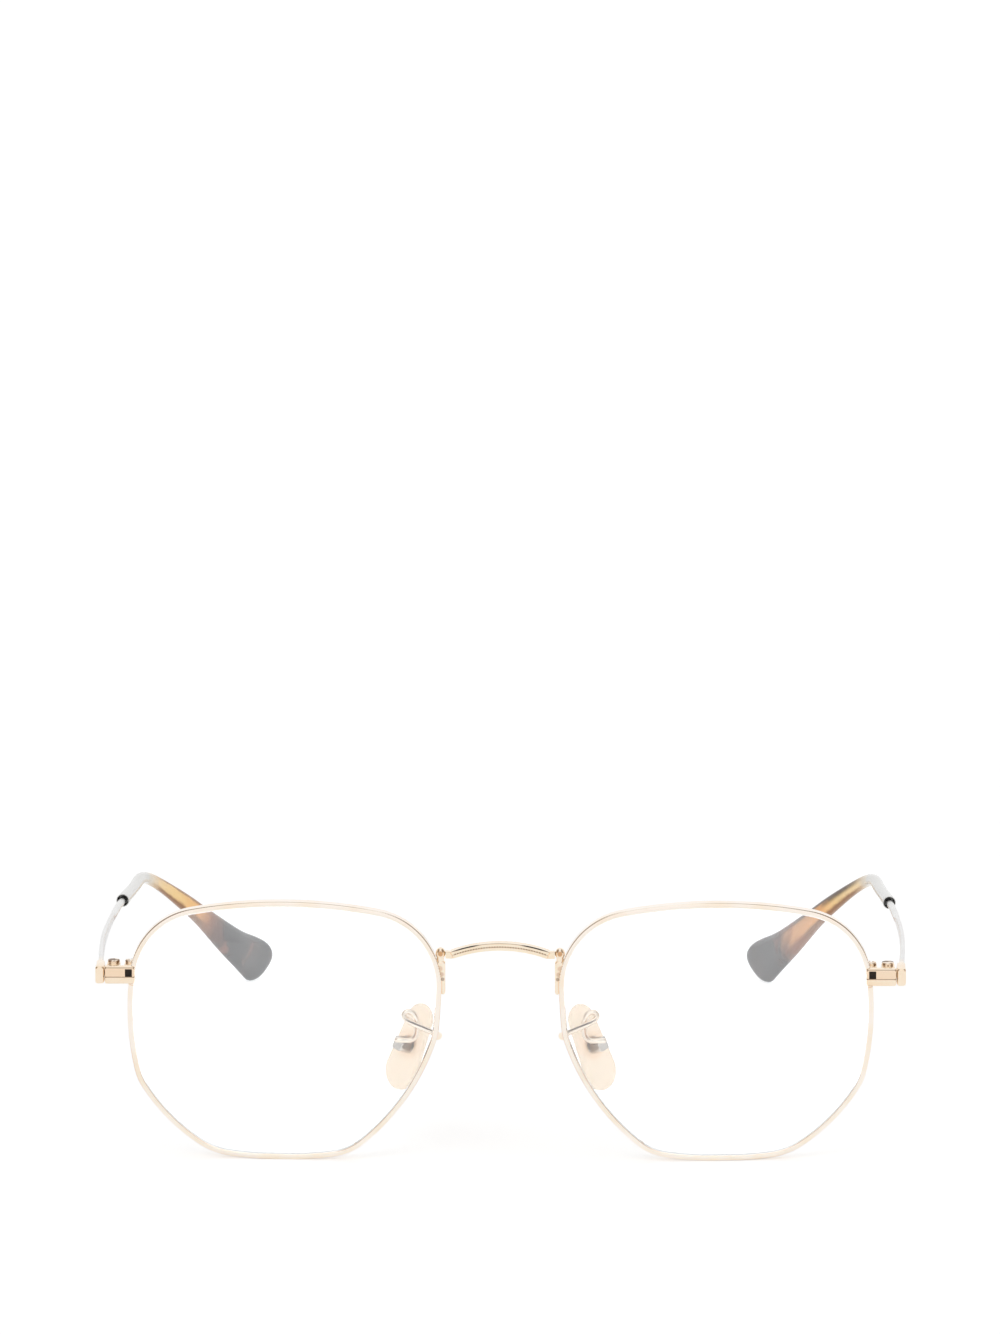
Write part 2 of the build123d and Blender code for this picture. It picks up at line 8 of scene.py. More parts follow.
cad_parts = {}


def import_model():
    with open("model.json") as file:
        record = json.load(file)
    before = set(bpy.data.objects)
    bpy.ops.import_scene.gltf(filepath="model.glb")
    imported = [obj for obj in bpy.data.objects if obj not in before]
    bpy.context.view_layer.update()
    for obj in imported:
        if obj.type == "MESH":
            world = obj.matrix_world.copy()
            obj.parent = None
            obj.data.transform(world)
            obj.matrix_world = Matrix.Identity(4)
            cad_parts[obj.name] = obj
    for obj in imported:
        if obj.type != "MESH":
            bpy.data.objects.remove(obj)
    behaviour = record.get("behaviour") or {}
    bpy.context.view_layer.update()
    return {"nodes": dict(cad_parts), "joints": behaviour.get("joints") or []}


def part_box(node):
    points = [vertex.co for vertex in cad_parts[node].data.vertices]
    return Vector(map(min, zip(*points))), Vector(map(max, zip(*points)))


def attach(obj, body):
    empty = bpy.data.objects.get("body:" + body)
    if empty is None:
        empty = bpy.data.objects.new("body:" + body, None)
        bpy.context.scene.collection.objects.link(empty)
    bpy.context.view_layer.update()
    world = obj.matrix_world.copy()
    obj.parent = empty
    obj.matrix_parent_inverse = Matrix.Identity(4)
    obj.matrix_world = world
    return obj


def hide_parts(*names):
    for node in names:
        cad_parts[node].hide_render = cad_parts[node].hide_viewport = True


# Hexagonal metal eyeglasses: new surfaces for the pieces that show most, finishes for all of them.
# Lengths here are millimetres until a mesh is made, and Blender's objects are metres.
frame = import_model()
nodes = frame["nodes"]
MM = 0.001
SIDES = {"left": -1, "right": 1}
OUTWARDS, BACKWARDS, UPWARDS = np.eye(3)

# Lens outline, with the same driving sizes as the CAD model
LENS_WIDTH = 51.0
LENS_HEIGHT = 43.1
LENS_GAP = 21.0
BASE_CURVE_RADIUS = 132.0
FACE_FORM_ANGLE = 3.0
# Corners of the lens: towards the nose, upwards, bulge of the side that follows, corner radius
CORNER_SHARES = [
    (1.010, 0.797, 0.157, 0.49),
    (-0.913, 0.823, 0.076, 0.49),
    (-0.950, -0.402, 0.048, 0.31),
    (-0.462, -0.967, 0.034, 0.45),
    (0.413, -0.959, 0.080, 0.36),
    (0.985, -0.015, 0.010, 0.35),
]
RIM_WEB = 0.6
RIM_LIP = 0.25
RIM_DEPTH = 2.0
RIM_EDGE_RADIUS = 0.15
RIM_CROWN = 0.025
# Rim's split behind the endpiece: how far below the endpiece, and how wide
RIM_SPLIT_DROP = 0.2
RIM_SPLIT_GAP = 0.2
LENS_SETBACK = 0.35
LENS_THICKNESS = 1.3
LENS_SLACK = 0.01
LENS_BEVEL = 0.12

# Direction of a face that counts as flat on one side of its section
FLAT = 0.99
# Places of the painted reflection and shade lines round the section, as shares of the way round
RIM_REFLECTION_LINE = 0.79
BRIDGE_TOP_REFLECTION = 0.285
BRIDGE_BEAD_SHADE = 0.41
# Endpiece: edge radius, crown of its front, and how far below its middle the ridge's groove lies
END_RADIUS = 0.42
END_CROWN = 0.10
RIDGE_DROP = 0.28
RIDGE_WIDTH = 0.07
RIDGE_DEPTH = 0.07
# Its small recess, painted black as shade: from the rim's end outwards, from the middle upwards, and how deep
RECESS_X = (0.45, 1.6)
RECESS_Z = (-0.2, 1.08)
RECESS_DEPTH = 0.25
# Rounding of the endpiece at the rim and at the temple, and how far in from there its relief fades
END_ROUNDS = (0.3, 0.25)
END_FADES = (0.4, 0.3)
# Bridge: height of its ends, rise and forward bow, half of its length and of its band, and the shoulders'
# painted dark reflection
BRIDGE_Z = 35.2
BRIDGE_RISE = 1.75
BRIDGE_BOW = 1.2
BRIDGE_HALF = 9.1
BAND_HALF = 8.2
SHOULDER_X = 5.6
SHOULDER_REACH = 2.6
# Half depth and half height of the bridge's necks, and how much more its band has
NECK_HALF = (0.70, 0.58)
BAND_MORE = (0.275, 0.06)
# Edge radius, fade of the engraving at the band's ends, ticks on top, and the beaded groove in front
BRIDGE_EDGE_RADIUS = 0.16
BAND_FADE = 0.35
TICK_DEPTH = 0.05
GROOVE_AT = 0.08
GROOVE_WIDTH = 0.16
GROOVE_DEPTH = 0.05
BEAD_DEPTH = 0.03
# Bridge foot: seam between bar and ball, half width of the ball's neck, how far it laps onto the rim
FOOT_SEAM = 34.05
FOOT_NECK = 0.62
FOOT_LAP = 0.10
# Its bar: half of the seam, rounding at the lower end and the seam, how far that draws it in across and back,
# least half width, how much shallower it is than the solid, and its edge radius
FOOT_SEAM_HALF = 0.03
FOOT_ROUNDS = (0.45, 0.15)
FOOT_DRAWN = (0.6, 0.8)
FOOT_LEAST = 0.12
FOOT_SHALLOWER = 0.12
FOOT_EDGE_RADIUS = 0.32

# Fine milled edge of the rims and the bridge
MILL_PITCH = 0.44
MILL_DEPTH = 0.045
STEPS_PER_TICK = 4
BRIDGE_STEPS_PER_TICK = 6

# Temple line from the hinge: backwards, inwards and downwards, as shares of the three lengths
TEMPLE_REACH = 125.7
TEMPLE_INSET = 22.05
TEMPLE_DROP = 28.84
TEMPLE_SHARES = [
    (0.0, 0.0, 0.0),
    (0.197, -0.061, 0.0405),
    (0.381, -0.075, 0.097),
    (0.579, -0.039, 0.151),
    (0.714, 0.014, 0.1875),
    (0.778, 0.071, 0.215),
    (0.832, 0.306, 0.388),
    (0.890, 0.569, 0.622),
    (0.937, 0.764, 0.797),
    (0.981, 0.914, 0.9275),
    (1.0, 1.0, 1.0),
]
TIP_START_SHARE = 0.510
# Along the temple: share of its length, tip thickness and tip width in millimetres
TIP_SIZES = [
    (0.510, 2.30, 2.30),
    (0.554, 2.20, 2.20),
    (0.612, 2.10, 2.10),
    (0.700, 2.10, 2.10),
    (0.738, 2.12, 2.25),
    (0.787, 2.21, 3.00),
    (0.835, 2.30, 3.75),
    (0.884, 2.40, 5.20),
    (0.925, 2.40, 6.55),
    (0.955, 2.40, 7.75),
    (0.975, 2.40, 8.25),
    (1.0, 2.40, 8.30),
]
TIP_MOUTH_BORE = 1.85
TIP_MOUTH_RADIUS = 1.15
TIP_MOUTH_DEPTH = 3.0
# Round end of the paddle: how far from the end its width and its thickness close, and the width's power
TIP_CLOSE_WIDTH = 5.0
TIP_CLOSE_THICKNESS = 2.6
TIP_CLOSE_POWER = 2.6
TIP_CLOSE_ROWS = 5.5
# Slant of that end, the length that it comes in over, and the shares between which the paddle is lowered
TIP_SLANT = 0.27
TIP_SLANT_LENGTH = 7.0
TIP_SLANT_PIVOT = 1.5
TIP_SETTLE = (0.80, 0.96)
# How far the ovals square up, and the share where that begins and over how much it comes in
TIP_SQUARE = 0.16
TIP_SQUARE_FROM = 0.60
TIP_SQUARE_OVER = 0.12
# Along the temple: distance from the hinge, thickness, height and corner radius in millimetres
BAR_SIZES = [
    (-3.05, 1.50, 3.00, 0.42),
    (1.9, 1.50, 3.00, 0.42),
    (3.6, 0.86, 2.72, 0.36),
    (13.5, 0.80, 2.69, 0.36),
    (27.0, 0.76, 2.35, 0.35),
    (40.6, 0.76, 1.90, 0.36),
    (52.1, 0.80, 1.54, 0.39),
    (56.2, 1.25, 1.25, 0.61),
    (75.0, 1.25, 1.25, 0.61),
]

# Temple beside the endpiece, and the butt in front of the hinge
TEMPLE_GAP = 0.1
BUTT_CROWN = 0.4
# Bar that turns from upright to square on its line, by distance from the hinge
BAR_TURN = 6.0

# Nose pads: turned outwards and leaned in degrees, sizes in millimetres
PAD_SPLAY = 45.0
PAD_TILT = 20.0
PAD_THICKNESS = 1.7
PAD_TOP_RADIUS = 2.7
PAD_BOTTOM_RADIUS = 3.4
PAD_CENTRES_GAP = 9.2
# Powers of the pad's two crowns, at the back and in front
PAD_CROWNS = ((6, 3.2), (5, 2.6))
# Pad arms: wire, height on the rim and rise
ARM_WIRE = 0.9
ARM_FOOT_Z = 21.0
ARM_RISE = 3.9
# How much thicker the wire is at the rim, and over what length that fades
ARM_SWELL = 0.55
ARM_SWELL_LENGTH = 0.5
# Box behind the pad: gap, depth and rise
BOX_GAP = 0.35
BOX_DEPTH = 2.0
BOX_RISE = 0.55
# Route of the arm: across and back as shares of the way from foot to box, up as a share of the rise
ARM_SHARES = [
    (0.0, 0.0, 0.0),
    (0.10, 0.42, 0.05),
    (0.92, 0.78, 0.60),
    (0.82, 0.88, 0.97),
    (0.55, 0.84, 0.77),
    (0.54, 0.86, -0.40),
]

# Camera, solved from the photograph: where it looks at, from how far and how high
LOOK_AT_PIXEL = (500.0, 1035.3)
PHOTO_SIZE = (1000, 1334)
CAMERA_DISTANCE = 1200.0
CAMERA_ELEVATION = 14.0
CAMERA_AZIMUTH = 0.75
FOCAL_PIXELS = 7200.0
SENSOR = 36.0
LOOK_AT_HEIGHT = 22.0

# Light of the world, and how white the floor looks to the camera, through glass and in metal
WORLD_LIGHT = 0.55
GLOW_NEAR = 0.33
GLOW_FAR = 0.55
GLOW_THROUGH_GLASS = 0.72
GLOW_IN_METAL = 0.26
# Distance from the middle over which it grows from near to far, in metres
GLOW_RANGE = (0.3, 1.8)
FLOOR_RADIUS = 4.0
# Brown parts of the ceiling at both sides, for reflections alone: place, cosines of the edge, colour
CEILING = (0.80, -0.20, 0.57)
CEILING_EDGE = (0.76, 0.94)
CEILING_COLOUR = (0.30, 0.21, 0.14)
# Lamps: what they face, then place in metres, width and power
LAMPS_FACE = (0, 0, 0.02)
LAMPS = {
    "key": ((-0.5, -0.9, 1.1), 0.9, 3.0),
    "fill": ((0.9, -0.3, 0.8), 0.9, 1.7),
    "back": ((0.1, 0.9, 0.9), 1.0, 1.7),
}


def low_high(node):
    """Lowest and highest corner of a CAD node, in millimetres."""
    low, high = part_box(node)
    return np.array(low) / MM, np.array(high) / MM


# Places that the CAD model gives
LENS_X = LENS_GAP / 2 + LENS_WIDTH / 2
LENS_Z = LENS_HEIGHT / 2 + RIM_WEB
CURVE_X = LENS_X - BASE_CURVE_RADIUS * sin(radians(FACE_FORM_ANGLE))
JOINTS = {joint["name"]: joint for joint in frame["joints"]}
HINGE = np.array(JOINTS["right_temple_fold"]["pos_m"]) / MM
END_LOW, END_HIGH = low_high("right_endpiece")
ENDPIECE_PROUD = 0.35
RIDGE_Z = (END_LOW[2] + END_HIGH[2]) / 2 - RIDGE_DROP
BRIDGE_FRONT = low_high("bridge")[0][1]
FOOT_LOW, FOOT_HIGH = low_high("right_bridge_foot")
FOOT_BALL_RADIUS = 0.84
FOOT_BALL = (FOOT_LOW[0] + FOOT_BALL_RADIUS, (FOOT_LOW[1] + FOOT_HIGH[1]) / 2, FOOT_HIGH[2] - 1.0)


def curve_depth(x, z):
    """Sphere of the base curve: how far back its front lies at x, z, from its foremost point."""
    aside = (x - CURVE_X) ** 2 + (z - LENS_Z) ** 2
    return BASE_CURVE_RADIUS - np.sqrt(BASE_CURVE_RADIUS**2 - aside)


# Foremost point of that sphere, and the middle of the right nose pad
FRONT_Y = END_LOW[1] + ENDPIECE_PROUD - curve_depth(END_LOW[0], HINGE[2])
PAD_AT = np.array([15.1, 9.2 + FRONT_Y, 18.2])


def front_y(x, z):
    """The rims' front at x, z, in the frame of the object."""
    return FRONT_Y + curve_depth(x, z)


# Outline of the lens

def full_turn(count):
    """Angles at even steps of a full turn."""
    return np.arange(count) / count * 2 * pi


def directions(angles):
    """Unit vectors at angles."""
    return np.stack([np.cos(angles), np.sin(angles)], -1)


def across(vector):
    """A vector turned a quarter turn."""
    return np.array([-vector[1], vector[0]])


def outline_arcs():
    """Six bulged sides and six round corners as circles: centre, radius, first angle and turn of each."""
    half = np.array([LENS_WIDTH, LENS_HEIGHT]) / 2
    middle = np.array([LENS_X, LENS_Z])
    corners = [middle + half * (-nasal, up) for nasal, up, bulge, radius in CORNER_SHARES]
    sides = []
    for i, (nasal, up, bulge, radius) in enumerate(CORNER_SHARES):
        start, end = corners[i], corners[(i + 1) % len(corners)]
        height = bulge * half[0]
        chord = np.linalg.norm(end - start)
        reach = chord**2 / (8 * height) + height / 2
        outwards = across(end - start) / chord
        if outwards @ (start + end - 2 * middle) < 0:
            outwards = -outwards
        sides.append(((start + end) / 2 - outwards * (reach - height), reach))
    rounds = []
    for i, (nasal, up, bulge, radius) in enumerate(CORNER_SHARES):
        (first, first_reach), (second, second_reach) = sides[i - 1], sides[i]
        small = radius * half[0]
        apart = np.linalg.norm(second - first)
        along = ((first_reach - small) ** 2 - (second_reach - small) ** 2 + apart**2) / (2 * apart)
        height = sqrt((first_reach - small) ** 2 - along**2)
        foot = first + (second - first) / apart * along
        sideways = across(second - first) / apart * height
        both = (foot + sideways, foot - sideways)
        rounds.append(min(both, key=lambda centre: np.linalg.norm(centre - corners[i])))
    arcs = []
    for i in range(len(corners)):
        for centre, reach, before, after in (
            (rounds[i], CORNER_SHARES[i][3] * half[0], rounds[i] - sides[i - 1][0], rounds[i] - sides[i][0]),
            (*sides[i], rounds[i] - sides[i][0], rounds[(i + 1) % len(corners)] - sides[i][0]),
        ):
            first = np.arctan2(before[1], before[0])
            turn = (np.arctan2(after[1], after[0]) - first + pi) % (2 * pi) - pi
            arcs.append((centre, reach, first, turn))
    return arcs


def outline(count, split_z=None, split_gap=0.0):
    """Points and outward normals of the outline at even steps along its arcs.

    With a split height it is an open line that starts and ends half a gap from it, at the temple side."""
    arcs = outline_arcs()
    lengths = np.array([abs(reach * turn) for centre, reach, first, turn in arcs])
    ends = np.cumsum(lengths)

    def at(distance):
        distance = np.asarray(distance) % ends[-1]
        which = np.minimum(np.searchsorted(ends, distance, side="right"), len(arcs) - 1)
        centres = np.array([arc[0] for arc in arcs])[which]
        reach, first, turn = np.array([arc[1:] for arc in arcs])[which].T
        angle = first + turn * (distance - ends[which] + lengths[which]) / lengths[which]
        normals = directions(angle)
        return centres + normals * reach[:, None], normals

    if split_z is None:
        return at(np.arange(count) / count * ends[-1])
    trial = np.linspace(0, ends[-1], 6000)
    points, normals = at(trial)
    temple_side = np.where(points[:, 0] > LENS_X, abs(points[:, 1] - split_z), np.inf)
    start = trial[np.argmin(temple_side)]
    return at(np.linspace(start + split_gap / 2, start + ends[-1] - split_gap / 2, count))


# Sections and meshes

def ring(per_side, per_corner):
    """Unit rounded square: where each point's corner lies and which way the point faces, round the square."""
    ties = []
    faces = []
    shares = np.linspace(0, 1, per_side + 2)[1:-1, None]
    for start in np.arange(4) * pi / 2:
        here, there = (np.sign(directions(start + eighths * pi / 4)) for eighths in (1, 3))
        turned = directions(np.linspace(start, start + pi / 2, per_corner))
        ties += [np.tile(here, (per_corner, 1)), here + (there - here) * shares]
        faces += [turned, np.tile(turned[-1], (per_side, 1))]
    return np.concatenate(ties), np.concatenate(faces)


def section(shape, half_across, half_up, radius):
    """Rounded rectangles from a unit ring: one row for each half width, half height and corner radius."""
    ties, faces = shape
    halves = np.stack(np.broadcast_arrays(half_across, half_up), -1)[:, None, :]
    radius = np.broadcast_to(radius, halves.shape[0])[:, None, None]
    return ties * (halves - radius) + faces * radius


def rounding(distance, radius):
    """How far a rounded end draws in at a distance from it: a quarter circle."""
    left = np.clip(radius - distance, 0, radius)
    return radius - np.sqrt(radius**2 - left**2)


def placed(name, data):
    """A new object in the scene."""
    made = bpy.data.objects.new(name, data)
    bpy.context.scene.collection.objects.link(made)
    return made


def surface(name, grid, finish, body, slot, hides, sharp=40, odd=None, odd_finish=None):
    """Mesh from a grid of points in millimetres: rows along the piece, columns round it, a fan at each end.

    The sign of its volume says whether its faces point outwards, and they are turned where they don't.
    Faces between rows and columns that odd marks get odd_finish."""
    rows, columns = grid.shape[:2]
    points = np.concatenate([grid.reshape(-1, 3), grid[0].mean(0)[None], grid[-1].mean(0)[None]])
    row, column = np.meshgrid(np.arange(rows - 1), np.arange(columns), indexing="ij")
    here, there = row * columns, (row + 1) * columns
    after = (column + 1) % columns
    quads = np.stack([here + column, here + after, there + after, there + column], -1).reshape(-1, 4)
    along = np.stack([row, row, row + 1, row + 1], -1).reshape(-1, 4) / (rows - 1)
    round_it = np.stack([column, column + 1, column + 1, column], -1).reshape(-1, 4) / columns
    turn = np.arange(columns)
    following = (turn + 1) % columns
    first, last = np.full(columns, rows * columns), (rows - 1) * columns
    fans = np.concatenate(
        [np.stack([first, following, turn], -1), np.stack([first + 1, last + turn, last + following], -1)]
    )
    fan_along = np.repeat([[0.0] * 3, [1.0] * 3], columns, axis=0)
    fan_round = np.concatenate(
        [np.stack([turn + 0.5, turn + 1, turn], -1), np.stack([turn + 0.5, turn, turn + 1], -1)]
    ) / columns
    corners = np.concatenate([quads[:, [0, 1, 2]], quads[:, [0, 2, 3]], fans])
    a, b, c = (points[corners[:, i]] - points.mean(0) for i in range(3))
    if np.einsum("ij,ij->i", a, np.cross(b, c)).sum() < 0:
        quads, along, round_it = quads[:, ::-1], along[:, ::-1], round_it[:, ::-1]
        fans, fan_along, fan_round = fans[:, ::-1], fan_along[:, ::-1], fan_round[:, ::-1]
    mesh = bpy.data.meshes.new(name)
    mesh.from_pydata((points * MM).tolist(), [], quads.tolist() + fans.tolist())
    u = np.concatenate([along.ravel(), fan_along.ravel()])
    v = np.concatenate([round_it.ravel(), fan_round.ravel()])
    uv = np.stack([u, v], -1).astype(np.float32)
    mesh.uv_layers.new(name="UVMap").uv.foreach_set("vector", uv.ravel())
    mesh.materials.append(finish)
    if odd is not None:
        mesh.materials.append(odd_finish)
        marked = np.zeros(len(quads) + len(fans), np.int32)
        marked[: len(quads)] = odd.ravel()
        mesh.polygons.foreach_set("material_index", marked)
    mesh.shade_smooth()
    mesh.set_sharp_from_angle(angle=radians(sharp))
    piece = placed(name, mesh)
    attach(piece, body)
    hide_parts(hides)
    return piece


def both_sides(name, grid, finish, body, slot, **more):
    """The right piece and its mirror image, named by side. Each rides on the front or its own side's body."""
    for side, sign in SIDES.items():
        rides = body if body == "front" else side + "_" + body
        looks = side + "_" + name + "_looks"
        surface(looks, grid * (sign, 1, 1), finish, rides, slot, side + "_" + name, **more)


def unit(vectors):
    """Each row at a length of 1."""
    return vectors / np.linalg.norm(vectors, axis=1)[:, None]


def travelled(points):
    """Distance of each point from the first, along their chords."""
    return np.concatenate([[0], np.cumsum(np.linalg.norm(np.diff(points, axis=0), axis=1))])


def smooth_step(share):
    """A share held between 0 and 1, eased at both ends."""
    share = np.clip(share, 0, 1)
    return share * share * (3 - 2 * share)


def smooth_line(points):
    """Natural cubic through points, by the length of their chords: its length, and its points by distance."""
    points = np.array(points, float)
    knots = travelled(points)
    gaps = np.diff(knots)
    system = np.diag(2 * (gaps[:-1] + gaps[1:]))
    system += np.diag(gaps[1:-1], 1) + np.diag(gaps[1:-1], -1)
    bends = np.zeros_like(points)
    slopes = np.diff(points, axis=0) / gaps[:, None]
    bends[1:-1] = np.linalg.solve(system, 6 * np.diff(slopes, axis=0))

    def cubic(knot):
        i = np.clip(np.searchsorted(knots, knot, side="right") - 1, 0, len(gaps) - 1)
        gap = gaps[i][:, None]
        left = (knots[i + 1] - knot)[:, None]
        right = (knot - knots[i])[:, None]
        curve = (bends[i] * left**3 + bends[i + 1] * right**3) / (6 * gap)
        start = points[i] / gap - bends[i] * gap / 6
        end = points[i + 1] / gap - bends[i + 1] * gap / 6
        return curve + start * left + end * right

    fine = np.linspace(0, knots[-1], 4000)
    reached = travelled(cubic(fine))
    return reached[-1], lambda distance: cubic(np.interp(distance, reached, fine))


def level_axes(centres):
    """For each point of a line: a level axis across it, and the axis square to that and to the line."""
    along = unit(np.gradient(centres, axis=0))
    level = unit(np.cross(along, UPWARDS))
    return level, np.cross(level, along)


def fixed_axis(axis, rows):
    """The same axis for every row."""
    return np.tile(axis, (len(rows), 1))


def carried(centres, axis_across, axis_up, offsets):
    """Sections carried along a line: each row's offsets go along that row's two axes."""
    sideways = offsets[..., :1] * axis_across[:, None]
    return centres[:, None] + sideways + offsets[..., 1:] * axis_up[:, None]


def eased(table, column, where):
    """A column of a table of sizes by distance, eased from each row to the next without overshoot."""
    table = np.array(table)
    i = np.clip(np.searchsorted(table[:, 0], where, side="right") - 1, 0, len(table) - 2)
    share = np.clip((where - table[i, 0]) / (table[i + 1, 0] - table[i, 0]), 0, 1)
    value = table[:, column]
    slope = np.gradient(value, table[:, 0])
    gap = table[i + 1, 0] - table[i, 0]
    start = value[i] * (1 + 2 * share) * (1 - share) ** 2 + value[i + 1] * share**2 * (3 - 2 * share)
    curve = start + gap * share * (1 - share) * (slope[i] * (1 - share) - slope[i + 1] * share)
    return np.clip(curve, np.minimum(value[i], value[i + 1]), np.maximum(value[i], value[i + 1]))


# Finishes

def new_material(name):
    """A material with its node tree and its Principled shader."""
    material = bpy.data.materials.new(name)
    material.use_nodes = True
    tree = material.node_tree
    return material, tree, tree.nodes["Principled BSDF"]


def put(tree, value, socket):
    """Another node's output, a number, a vector or a colour on a socket."""
    if isinstance(value, bpy.types.NodeSocket):
        tree.links.new(value, socket)
    elif socket.type == "RGBA":
        socket.default_value = (*value, 1)
    else:
        socket.default_value = value


def set_inputs(tree, node, values):
    """Inputs of a node by name."""
    for name, value in values.items():
        put(tree, value, node.inputs[name])


def add(tree, kind, **values):
    """A node of a kind, with its properties and its inputs by name."""
    node = tree.nodes.new(kind)
    for name, value in values.items():
        if name in node.inputs.keys():
            put(tree, value, node.inputs[name])
        else:
            setattr(node, name, value)
    return node


def ramp(tree, source, stops):
    """Colour ramp over a value: position of each stop, and its colour or grey."""
    node = add(tree, "ShaderNodeValToRGB", Fac=source)
    elements = node.color_ramp.elements
    while len(elements) < len(stops):
        elements.new(0.5)
    for element, (position, colour) in zip(elements, stops):
        element.position = position
        element.color = (*np.broadcast_to(colour, 3), 1)
    return node.outputs["Color"]


def calculated(tree, operation, *values):
    """Math node on values, each a socket or a number."""
    node = add(tree, "ShaderNodeMath", operation=operation)
    for socket, value in zip(node.inputs, values):
        put(tree, value, socket)
    return node.outputs["Value"]


def times(tree, first, second):
    """Product of two values."""
    return calculated(tree, "MULTIPLY", first, second)


def mapped(tree, source, start, end, low=0.0, high=1.0, interpolation="LINEAR"):
    """A value carried over from one range to another, and no further: low at start, high at end."""
    values = {"Value": source, "From Min": start, "From Max": end, "To Min": low, "To Max": high}
    return add(tree, "ShaderNodeMapRange", interpolation_type=interpolation, **values).outputs["Result"]


def rising(tree, source, start, end, top=1.0):
    """Smooth step of a value: 0 at start, top at end and beyond."""
    return mapped(tree, source, start, end, 0.0, top, "SMOOTHSTEP")


def band(tree, source, centre, reach, top=1.0):
    """Soft line where a value is near its centre: top there, 0 at the reach."""
    gap = calculated(tree, "ABSOLUTE", calculated(tree, "SUBTRACT", source, centre))
    return rising(tree, gap, reach, reach * 0.35, top)


def tinted(tree, colour, mask, tint):
    """A colour mixed with a tint by a mask."""
    return add(tree, "ShaderNodeMix", data_type="RGBA", Factor=mask, A=colour, B=tint).outputs["Result"]


def noise(tree, **values):
    """Value of a noise on Object coordinates."""
    place = add(tree, "ShaderNodeTexCoord")
    return add(tree, "ShaderNodeTexNoise", Vector=place.outputs["Object"], **values).outputs["Fac"]


def coordinates(tree, kind):
    """X, Y and Z of a texture coordinate."""
    place = add(tree, "ShaderNodeTexCoord")
    return add(tree, "ShaderNodeSeparateXYZ", Vector=place.outputs[kind]).outputs


def either_side(tree, kind):
    """A texture coordinate with X made positive, so that both sides get the same."""
    parts = coordinates(tree, kind)
    aside = calculated(tree, "ABSOLUTE", parts["X"])
    return add(tree, "ShaderNodeCombineXYZ", X=aside, Y=parts["Y"], Z=parts["Z"]).outputs["Vector"]


def compared(tree, operation, vector, fixed):
    """Vector math node on a socket and a fixed vector, such as their distance or dot product."""
    node = add(tree, "ShaderNodeVectorMath", operation=operation)
    put(tree, vector, node.inputs[0])
    put(tree, fixed, node.inputs[1])
    return node.outputs["Value"]


def spot(tree, point, reach, top=1.0):
    """Soft round spot at a point of either side, in millimetres: top at the point, 0 at the reach."""
    place = [value * MM for value in point]
    far = compared(tree, "DISTANCE", either_side(tree, "Object"), place)
    return rising(tree, far, reach * MM, reach * MM * 0.5, top)


def see_through(tree, shader, colour, share):
    """The shader's surface mixed with a share of a tinted clear one."""
    clear = add(tree, "ShaderNodeBsdfTransparent", Color=colour)
    mix = add(tree, "ShaderNodeMixShader", Fac=share)
    put(tree, shader.outputs["BSDF"], mix.inputs[1])
    put(tree, clear.outputs["BSDF"], mix.inputs[2])
    put(tree, mix.outputs["Shader"], tree.nodes["Material Output"].inputs["Surface"])


def plate_group():
    """Polished plate: drifts between two colours, with soft polishing marks in roughness and height."""
    group = bpy.data.node_groups.new("polished_plate", "ShaderNodeTree")
    sockets = (
        ("Colour", "INPUT", "Color"),
        ("Deep colour", "INPUT", "Color"),
        ("Roughness", "INPUT", "Float"),
        ("Color", "OUTPUT", "Color"),
        ("Roughness", "OUTPUT", "Float"),
        ("Height", "OUTPUT", "Float"),
    )
    for name, side, kind in sockets:
        group.interface.new_socket(name=name, in_out=side, socket_type="NodeSocket" + kind)
    given = group.nodes.new("NodeGroupInput").outputs
    drift = mapped(group, noise(group, Scale=180.0, Detail=3.0, Roughness=0.55), 0.42, 0.72)
    marks = noise(group, Scale=2600.0, Detail=2.0, Roughness=0.6)
    made = {
        "Color": tinted(group, given["Colour"], drift, given["Deep colour"]),
        "Roughness": calculated(group, "MULTIPLY_ADD", marks, 0.10, given["Roughness"]),
        "Height": marks,
    }
    set_inputs(group, group.nodes.new("NodeGroupOutput"), made)
    return group


PLATE = plate_group()


def plate(tree, colour, deep, roughness):
    """Outputs of the plate group for two colours and a roughness."""
    values = {"Colour": colour, "Deep colour": deep, "Roughness": roughness}
    return add(tree, "ShaderNodeGroup", node_tree=PLATE, **values).outputs


def plated(name, colour, deep, roughness, marks=None, relief=0.08):
    """Metal of the plate group. Marks takes the node tree and gives masks, each with its tint."""
    material, tree, shader = new_material(name)
    metal = plate(tree, colour, deep, roughness)
    shade = metal["Color"]
    for mask, tint in marks(tree) if marks else ():
        shade = tinted(tree, shade, mask, tint)
    bump = add(tree, "ShaderNodeBump", Strength=relief, Distance=0.00002, Height=metal["Height"])
    values = {"Base Color": shade, "Metallic": 1.0, "Roughness": metal["Roughness"]}
    set_inputs(tree, shader, {**values, "Normal": bump.outputs["Normal"]})
    return material


PALE_GOLD = (0.97, 0.84, 0.68)
DEEP_GOLD = (0.93, 0.74, 0.54)
SILVER = (0.80, 0.80, 0.79)
DEEP_SILVER = (0.74, 0.73, 0.72)
# Brown and near black of the painted shade and painted reflection lines
BROWN = (0.22, 0.11, 0.05)
REFLECTION_BLACK = (0.03, 0.022, 0.018)


def rim_painted_reflection(tree):
    """Painted reflection: a thin brown line in the milled front edge, stronger in some places than in others.
    """
    strength = rising(tree, noise(tree, Scale=60.0, Detail=1.0), 0.40, 0.62, 0.65)
    line = band(tree, coordinates(tree, "UV")["Y"], RIM_REFLECTION_LINE, 0.022)
    return [(times(tree, line, strength), BROWN)]


